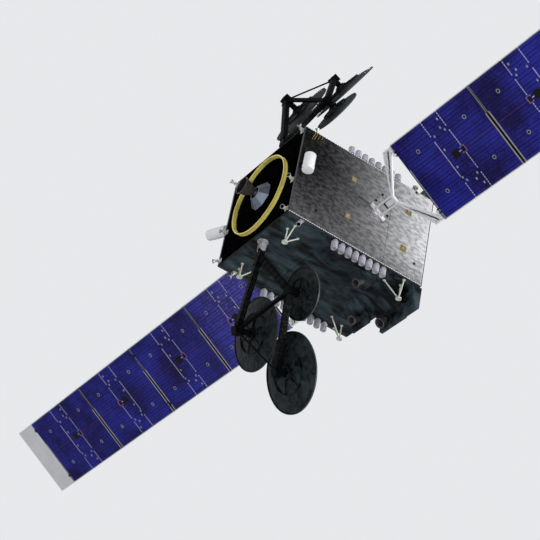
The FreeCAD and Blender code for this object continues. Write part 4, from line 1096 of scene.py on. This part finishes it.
class SATELLITE_OT_thrusters(bpy.types.Operator):
    """Bolts, exit rings, dark linings and fuel pipes of the small thrusters"""

    bl_idname = "satellite.thrusters"
    bl_label = "Thrusters"

    def execute(self, context):
        foot_thick, bolt_spread, joint_out = 0.014, 0.034, 0.062
        hoops = [(hoop(0.0405, 0.0445, 0.076, 0.084), 24)]
        hoops += [(hoop(0.022, 0.0265, level, level + 0.005), 20) for level in (-0.022, -0.040)]
        lining = [(0.0085, 0.004), (0.0378, 0.0835), (0.0368, 0.0835), (0.0075, 0.004),
                  (0.0085, 0.004)]
        bolts, rings, linings = [], [], []
        for foot, out, aim in THRUSTERS:
            foot, out, aim = np.array(foot), np.array(out, float), unit(aim)
            first, second = across_axes(out, UP if abs(out[2]) < 0.5 else EAST_WAY)
            for a in BOTH:
                for b in BOTH:
                    spot = foot + out * foot_thick + (first * a + second * b) * bolt_spread
                    bolts.append(bolt(0.006, 0.006, spot, out))
            joint = foot + out * foot_thick / 2 + aim * joint_out
            rings += [turned_at(profile, joint, aim, sides) for profile, sides in hoops]
            linings.append(turned_at(lining, joint, aim, 24))
            side, _ = across_axes(aim, out)
            path = [foot + out * foot_thick - first * 0.036, foot + out * 0.030 - first * 0.038,
                    joint - aim * 0.030 - side * 0.030, joint - aim * 0.012 - side * 0.028]
            rings.append(carried(path, 0.0028, out + first * 0.3, 6))
        new_piece("thruster_bolts", joined(bolts), "bus", "thruster_metal", "hinge_grey")
        new_piece("thruster_rings", joined(rings), "bus", "thruster_metal")
        new_piece("thruster_linings", joined(linings), "bus", "thruster_metal", "bell_inside")
        return {"FINISHED"}


class SATELLITE_OT_baffles(bpy.types.Operator):
    """Black mouths and linings, bands and foot bolts of the two white baffles"""

    bl_idname = "satellite.baffles"
    bl_label = "Baffles"

    def execute(self, context):
        half_length, band_levels, band_tall = 0.235, (0.012, 0.190, 0.345), 0.007
        screw_circle = 0.094
        sleeves = {"north": [(0.1045, 0.361), (0.1062, 0.361), (0.1062, 0.4705), (0.1015, 0.4705),
                             (0.1015, 0.020), (0.0, 0.020), (0.0, 0.0188), (0.1028, 0.0188),
                             (0.1028, 0.468), (0.1045, 0.468), (0.1045, 0.361)],
                   "south": [(0.0, 0.0188), (0.1028, 0.0188), (0.1028, 0.4695), (0.1015, 0.4695),
                             (0.1015, 0.020), (0.0, 0.020), (0.0, 0.0188)]}
        for name, (middle, aim) in BAFFLES.items():
            aim = unit(aim)
            start = np.array(middle) - aim * half_length
            new_piece(f"baffle_{name}_sleeve", turned_at(sleeves[name], start, aim, 48), "bus",
                      "white_paint", "dark_fitting")
            parts = [turned_at(hoop(0.1075, 0.1100, level, level + band_tall), start, aim, 48)
                     for level in band_levels]
            parts.append(bolt(0.018, 0.004, start, -aim, 16))
            for way in ways_round(10, *across_axes(aim, SLANT)):
                parts.append(bolt(0.005, 0.004, start + way * screw_circle, -aim))
            new_piece(f"baffle_{name}_bands", joined(parts), "bus", "white_paint")
        return {"FINISHED"}


# Dishes, booms and feeds


def dish_axes(name):
    """Centre of a dish's rim, and its unit axes: two across it and the way that it faces, which
    halves the angle between its horn and the earth."""
    centre, horn = (np.array(place) for place in DISHES[name][:2])
    facing = unit(unit(horn - centre) + UP)
    return centre, np.stack([*across_axes(facing, SOUTH_WAY), facing])


def dish_blanket(radius, depth, seed):
    """Crumpled film on a dish's back: rings of points at a radius and an angle, each as far
    behind the rim as the dish's curve there, its wall and a creased height that fades at both
    edges; the same rings lie flat on the dish behind them."""
    rings, spokes, seam = max(8, round(radius / 0.05)), 72, 12
    hub_share, wall, puff, sway = 0.19, 0.0115, 0.016, 0.04
    draw = np.random.default_rng(seed)
    share = np.linspace(hub_share, 1.0, rings)[:, None]
    fade = np.sin(np.linspace(0, math.pi, rings))[:, None] ** 0.4
    rise = creased((rings, spokes), 3, seed)
    mix = np.clip((np.arange(spokes) - spokes + seam) / seam, 0, 1)
    rise = (rise * (1 - mix) + rise[:, :1] * mix) * fade * puff
    turn = angles_round(spokes) + (draw.random((rings, spokes)) - 0.5) * sway
    reach = np.repeat(share, spokes, 1) * radius
    flat = depth * (reach / radius) ** 2 - depth - wall
    x, y = reach * np.cos(turn), reach * np.sin(turn)
    outside = np.stack([x, y, flat - FILM_SINK - rise], -1)
    inside = np.stack([x, y, flat], -1)[::-1]
    return shell(np.concatenate([outside, inside]), wrap_rows=True, wrap_columns=True)


class SATELLITE_OT_dishes(bpy.types.Operator):
    """Blankets on the dishes' backs, woven faces, pale rims and hub bolts"""

    bl_idname = "satellite.dishes"
    bl_label = "Dishes"

    def execute(self, context):
        rim_wide, thin, rim_tall, bolt_circle = 0.014, 0.0012, 0.0265, 0.108
        for k, name in enumerate(DISHES):
            radius = DISHES[name][2]
            depth = radius * DISH_DEPTH_SHARE
            centre, axes = dish_axes(name)
            share = np.linspace(0, 0.996, 16)
            curve = np.column_stack([share * radius, depth * share ** 2 - depth + thin])
            woven = np.concatenate([curve, curve[::-1] - (0, 0.0016)])
            inner, edge = radius - 0.004, radius + rim_wide
            rim = [(inner, 0), (inner, thin), (edge + thin, thin),
                   (edge + thin, -rim_tall), (edge - 0.001, -rim_tall), (edge - 0.001, 0),
                   (inner, 0)]
            places = ways_round(8, EAST_WAY, SOUTH_WAY) * bolt_circle - UP * (depth + HUB_BELOW)
            bolts = placed(turned(stud(0.007, 0.006), 6), places, UPSIDE_DOWN)
            for label, part, finish, sharp in (
                    ("back", dish_blanket(radius, depth, 60 + k), None, None),
                    ("face", turned(woven, 96), "dish_face", 35.0),
                    ("rim", turned(rim, 96), "dish_rim", 35.0),
                    ("hub_bolts", bolts, "horn_grey", 35.0)):
                pair(on_side, f"dish_{name}_{{}}_{label}", [placed(part, centre, axes)],
                     "dish_slate", finish, "boom_{}", sharp)
        return {"FINISHED"}


class SATELLITE_OT_booms(bpy.types.Operator):
    """Wrapping bands, harness with clips and flange bolts of the two booms"""

    bl_idname = "satellite.booms"
    bl_label = "Booms"

    def execute(self, context):
        self.bands, self.cables, self.clips = [], [], []
        dishes = {name: dish_axes(name) for name in DISHES}
        knots = {name: centre - axes[2] * DISHES[name][3]
                 for name, (centre, axes) in dishes.items()}
        foot = np.array(BOOM_FOOT)
        for start, end in ((foot, knots["b"]), (foot, knots["c"]), (knots["c"], knots["a"])):
            self.dress_bar(start, end)
        for name, (centre, axes) in dishes.items():
            depth = DISHES[name][2] * DISH_DEPTH_SHARE
            self.dress_stem(centre - axes[2] * (depth + HUB_BELOW), axes)
        for label, parts, finish in (("bands", self.bands, "boom_strap"),
                                     ("harness", self.cables, "dark_fitting"),
                                     ("clips", self.clips, "boom_strap")):
            pair(on_side, "boom_{}_" + label, parts, "boom_black", finish, "boom_{}")
        return {"FINISHED"}

    def dress_bar(self, start, end):
        line = unit(end - start)
        span = np.linalg.norm(end - start)
        first, second = across_axes(line, UP)
        knot, band_pitch, band_wide, bar_half = 0.22, 0.14, 0.1075, 0.060
        for along in np.arange(knot + 0.04, span - knot - 0.02, band_pitch):
            spot = start + line * along
            self.bands.append(beam(spot, spot + line * 0.022, band_wide, band_wide, UP))
        steps = np.linspace(knot, span - knot, 28)
        for offset in (0.012, -0.016):
            sway = offset + 0.006 * np.sin(steps * 21 + offset * 90)
            path = start + steps[:, None] * line + second * bar_half + first * sway[:, None]
            self.cables.append(carried(path, 0.0055, first))
        for along in steps[2:-2:4]:
            spot = start + line * along + second * 0.0605
            self.clips.append(beam(spot, spot + line * 0.016, 0.062, 0.016, first))

    def dress_stem(self, seat, axes):
        flange, bolt_circle, band_places = 0.018, 0.078, (0.07, 0.13)
        for way in ways_round(6, axes[0], axes[1]):
            spot = seat - axes[2] * flange + way * bolt_circle
            self.clips.append(bolt(0.007, 0.006, spot, -axes[2]))
        for back in band_places:
            self.bands.append(turned_at(hoop(0.057, 0.0605, 0, 0.014), seat - axes[2] * back,
                                        axes[2], 28))


class SATELLITE_OT_feeds(bpy.types.Operator):
    """Crumpled blankets on the feed towers' faces, and the ridges and bolts of the horns"""

    bl_idname = "satellite.feeds"
    bl_label = "Feeds"

    def execute(self, context):
        films = []
        depth = sizes("body").puff
        for k, ((y0, y1), top, reach, lip, face, foot) in enumerate(TOWERS):
            top += DECK
            span = (0, y1 - y0, 0)
            faces = [((EAST, y0, top - foot), (face, 0, foot - lip), (foot - lip, 0, -face)),
                     ((EAST + reach, y0, top - lip), (0, 0, lip), EAST_WAY),
                     ((EAST, y0, top), (reach, 0, 0), UP)]
            if reach > face:
                faces.append(((EAST + face, y0, top - lip), (reach - face, 0, 0), -UP))
            for j, (corner, up, outward) in enumerate(faces):
                films.append(blanket(corner, span, up, outward, depth, 400 + 10 * k + j))
        ridges, bolts = [], []
        for centre, mouth, _, _, radius in DISHES.values():
            mouth = np.array(mouth)
            back = unit(mouth - np.array(centre))
            inside, throat_deep, ridge_pitch = radius - 0.0062, 0.165, 0.020
            for level in np.arange(0.012, 0.15, ridge_pitch):
                wall = inside - (inside - radius * 0.5 + 0.006) * level / throat_deep
                ridges.append(turned_at([(wall, level), (wall - 0.0045, level),
                                         (wall - 0.0050, level + 0.006),
                                         (wall - 0.0005, level + 0.006), (wall, level)],
                                        mouth, back, 40))
            for way in ways_round(12, *across_axes(back, SLANT)):
                spot = mouth + back * 0.012 + way * (radius + 0.006)
                bolts.append(bolt(0.0035, 0.004, spot, back))
            low, high, horn_long = 0.11, 0.118, 0.27
            wall, upper = (radius - radius * 0.5 / horn_long * level for level in (low, high))
            ridges.append(turned_at([(wall, low), (wall + 0.005, low), (upper + 0.005, high),
                                     (upper, high), (wall, low)], mouth, back, 40))
        pair(on_side, "feed_tower_{}_blanket", films, "slate_blanket", sharp=None)
        pair(on_side, "feed_horns_{}_ridges", ridges, "horn_grey")
        pair(on_side, "feed_horns_{}_bolts", bolts, "horn_grey", "hinge_grey")
        return {"FINISHED"}


class SATELLITE_OT_mountings(bpy.types.Operator):
    """Pad liners and bolts of the rests and boom roots, cups of the wing seats, and the small
    fittings on the radiators"""

    bl_idname = "satellite.mountings"
    bl_label = "Mountings"

    def execute(self, context):
        liners, bolts = [], []
        pad_out, pad_circle, root_circle = 0.323, 0.048, 0.090
        for y, z in ((0.735, 0.277), (0.920, 2.715)):
            for way in BOTH:
                pad = np.array([EAST + pad_out, way * y, DECK + z])
                liners.append(turned_at(stud(0.038, 0.003), pad, EAST_WAY, 28))
                for turn in angles_round(6) + 0.3:
                    rim = np.array([0.008, pad_circle * math.cos(turn),
                                    pad_circle * math.sin(turn)])
                    bolts.append(bolt(0.0035, 0.003, pad + rim, EAST_WAY))
        root = np.array([EAST + 0.022, -0.090, 0.265])
        for turn in angles_round(8) + 0.39:
            spot = root + np.array([0, root_circle * math.cos(turn),
                                    root_circle * math.sin(turn)])
            bolts.append(bolt(0.008, 0.007, spot, EAST_WAY))
        pair(on_side, "dish_rests_{}_liners", liners, "rest_white")
        pair(on_side, "{}_mount_bolts", bolts, "hinge_grey", "thruster_metal")

        low_seat, high_seat = 1.281, 2.571
        cup = [(0.0138, 0.006), (0.0265, 0.006), (0.0275, 0.018), (0.0265, 0.0225),
               (0.0150, 0.0225), (0.0138, 0.018), (0.0138, 0.006)]
        cups = [turned_at(cup, (side * WELL_SPREAD, NORTH, z), SOUTH_WAY, 28)
                for side in BOTH for z in (low_seat, high_seat)]
        plates = [turned_at(hoop(0.0285, 0.050, 0.0195, 0.0218),
                            (side * WELL_SPREAD, NORTH, low_seat), SOUTH_WAY, 24)
                  for side in BOTH]
        brackets, strips = [], []
        for x, z in ((-0.274, 1.827), (-0.074, 2.12), (-0.485, 1.95), (-0.985, 2.68),
                     (0.70, 0.62), (0.62, 2.86)):
            brackets.append(blocks((0.052, 0.014, 0.020), (x, NORTH + 0.006, z)))
            brackets.append(blocks((0.018, 0.020, 0.046), (x, NORTH + 0.008, z)))
        for x, z, long in ((-0.890, 0.290, 0.21), (-0.900, 0.335, 0.17), (-0.925, 0.400, 0.12),
                           (-0.945, 0.470, 0.08)):
            half = np.array([-0.955, 0, 0.296]) * long / 2
            middle = np.array([x, NORTH + 0.0005, z])
            strips.append(beam(middle - half, middle + half, 0.012, 0.003, SOUTH_WAY))
        pair(on_end, "{}_wing_cups", cups, "gold_seat", "thruster_metal")
        pair(on_end, "{}_seat_plates", plates, "gold_seat", "silver_shield")
        pair(on_end, "{}_radiator_brackets", brackets, "hinge_grey", "dark_fitting")
        pair(on_end, "{}_gold_strips", strips, "gold_ring")
        return {"FINISHED"}


class SATELLITE_OT_yokes(bpy.types.Operator):
    """Cover, dark slots painted as the shade in the yoke's recess, rivets, harness and ties of the
    yokes, and the hubs' and drives' bolts
    """

    bl_idname = "satellite.yokes"
    bl_label = "Yokes"

    def execute(self, context):
        front, back, harness = 0.025, -0.018, -0.001
        rail, head, corner, spread, plate = 0.084, 1.761, 2.381, 0.780, 1.600
        covers = [blocks((0.200, 0.106, 0.034), (plate, 0, -0.001))]
        # Painted shade: thin dark plates in the yoke plate's recess and along its two long slots
        slots = [blocks((0.066, 0.124, 0.002), (plate - 0.135, 0, back)),
                 blocks((0.196, 0.009, 0.002), *twins(plate, 0.0585, back))]
        arm_edges = (((head, rail), (corner, spread)),
                     ((head - 0.026, rail), (corner - 0.190, spread)))
        rivets, wires, ties = [], [], []
        button = turned(stud(0.003, 0.0025), 8)
        for side in BOTH:
            for edge in (-0.014, 0.014):
                rivets.append(placed(button, spots(np.linspace(1.32, 1.68, 13),
                                                   side * rail + edge, front)))
            share = np.linspace(0.08, 0.97, 22)
            for (x0, y0), (x1, y1) in arm_edges:
                rivets.append(placed(button, spots(x0 * (1 - share) + x1 * share,
                                                   side * (y0 * (1 - share) + y1 * share),
                                                   front)))
            inner = np.array([head - 0.013, side * rail, harness])
            outer = np.array([corner - 0.095, side * 0.770, harness])
            line = unit(outer - inner)
            beside = np.array([-line[1], line[0], 0])
            share = np.linspace(0.30, 0.99, 20)[:, None]
            wave = 0.004 * np.sin(share * 34)
            for offset in (-0.007, 0.007):
                path = inner + (outer - inner) * share + beside * (wave + offset)
                wires.append(carried(path, 0.005, UP))
            for part_share in np.linspace(0.38, 0.92, 6):
                spot = inner + (outer - inner) * part_share + UP * 0.002
                ties.append(beam(spot, spot + line * 0.012, 0.036, 0.010, beside))
        ties.append(placed(turned(stud(0.005, 0.004), 6),
                           [(x, y, 0.016) for x in (1.515, 1.685) for y in (-0.040, 0.040)]))
        bolts = [bolt(0.007, 0.006, (1.230, across, thick), EAST_WAY)
                 for across in (-0.168, -0.140, -0.022, 0.022, 0.140, 0.168)
                 for thick in (-0.026, 0.026)]
        drive_out, drive_circle = NORTH + 0.020, 0.1425
        lugs = [bolt(0.009, 0.006, EAST_WAY * drive_out + way * drive_circle, EAST_WAY)
                for way in ways_round(8, SOUTH_WAY, UP, 0.5)]
        for label, parts, finish in (("cover", covers, None), ("slots", slots, "dark_fitting"),
                                     ("rivets", rivets, "hinge_grey"),
                                     ("harness", wires, "dark_fitting"),
                                     ("ties", ties, "hinge_gold")):
            pair(on_wing, "{}_" + label, parts, "white_paint", finish, "yoke_{}")
        pair(on_wing, "{}_hub_bolts", bolts, "white_paint", "hinge_grey", "hub_{}")
        pair(on_wing, "{}_drive_bolts", lugs, "hinge_grey", "thruster_metal")
        return {"FINISHED"}


class SATELLITE_PT_sidebar(bpy.types.Panel):
    """Lists the operators in the order in which they run"""

    bl_label = "Satellite"
    bl_idname = "SATELLITE_PT_sidebar"
    bl_space_type = "VIEW_3D"
    bl_region_type = "UI"
    bl_category = "Satellite"

    def draw(self, context):
        for operator in OPERATORS:
            self.layout.operator(operator.bl_idname)
        for group in GROUPS:
            values = sizes(group)
            for name in values.__annotations__:
                self.layout.prop(values, name)


GROUPS = {"wing": WingSizes, "body": BodySizes, "colours": Colours}
OPERATORS = (SATELLITE_OT_finishes, SATELLITE_OT_stage, SATELLITE_OT_solar_cells,
             SATELLITE_OT_panel_fittings, SATELLITE_OT_tip_flaps, SATELLITE_OT_radiators,
             SATELLITE_OT_blankets, SATELLITE_OT_collectors, SATELLITE_OT_ring_and_engine,
             SATELLITE_OT_thrusters, SATELLITE_OT_baffles, SATELLITE_OT_dishes,
             SATELLITE_OT_booms, SATELLITE_OT_feeds, SATELLITE_OT_mountings,
             SATELLITE_OT_yokes)
CLASSES = (*GROUPS.values(), *OPERATORS, SATELLITE_PT_sidebar)


def register():
    for item in CLASSES:
        bpy.utils.register_class(item)
    for name, group in GROUPS.items():
        setattr(bpy.types.Scene, "satellite_" + name, bpy.props.PointerProperty(type=group))


def unregister():
    for name in GROUPS:
        delattr(bpy.types.Scene, "satellite_" + name)
    for item in reversed(CLASSES):
        bpy.utils.unregister_class(item)


def main():
    register()
    for operator in OPERATORS:
        group, name = operator.bl_idname.split(".")
        getattr(getattr(bpy.ops, group), name)()


if __name__ == "__main__":
    main()
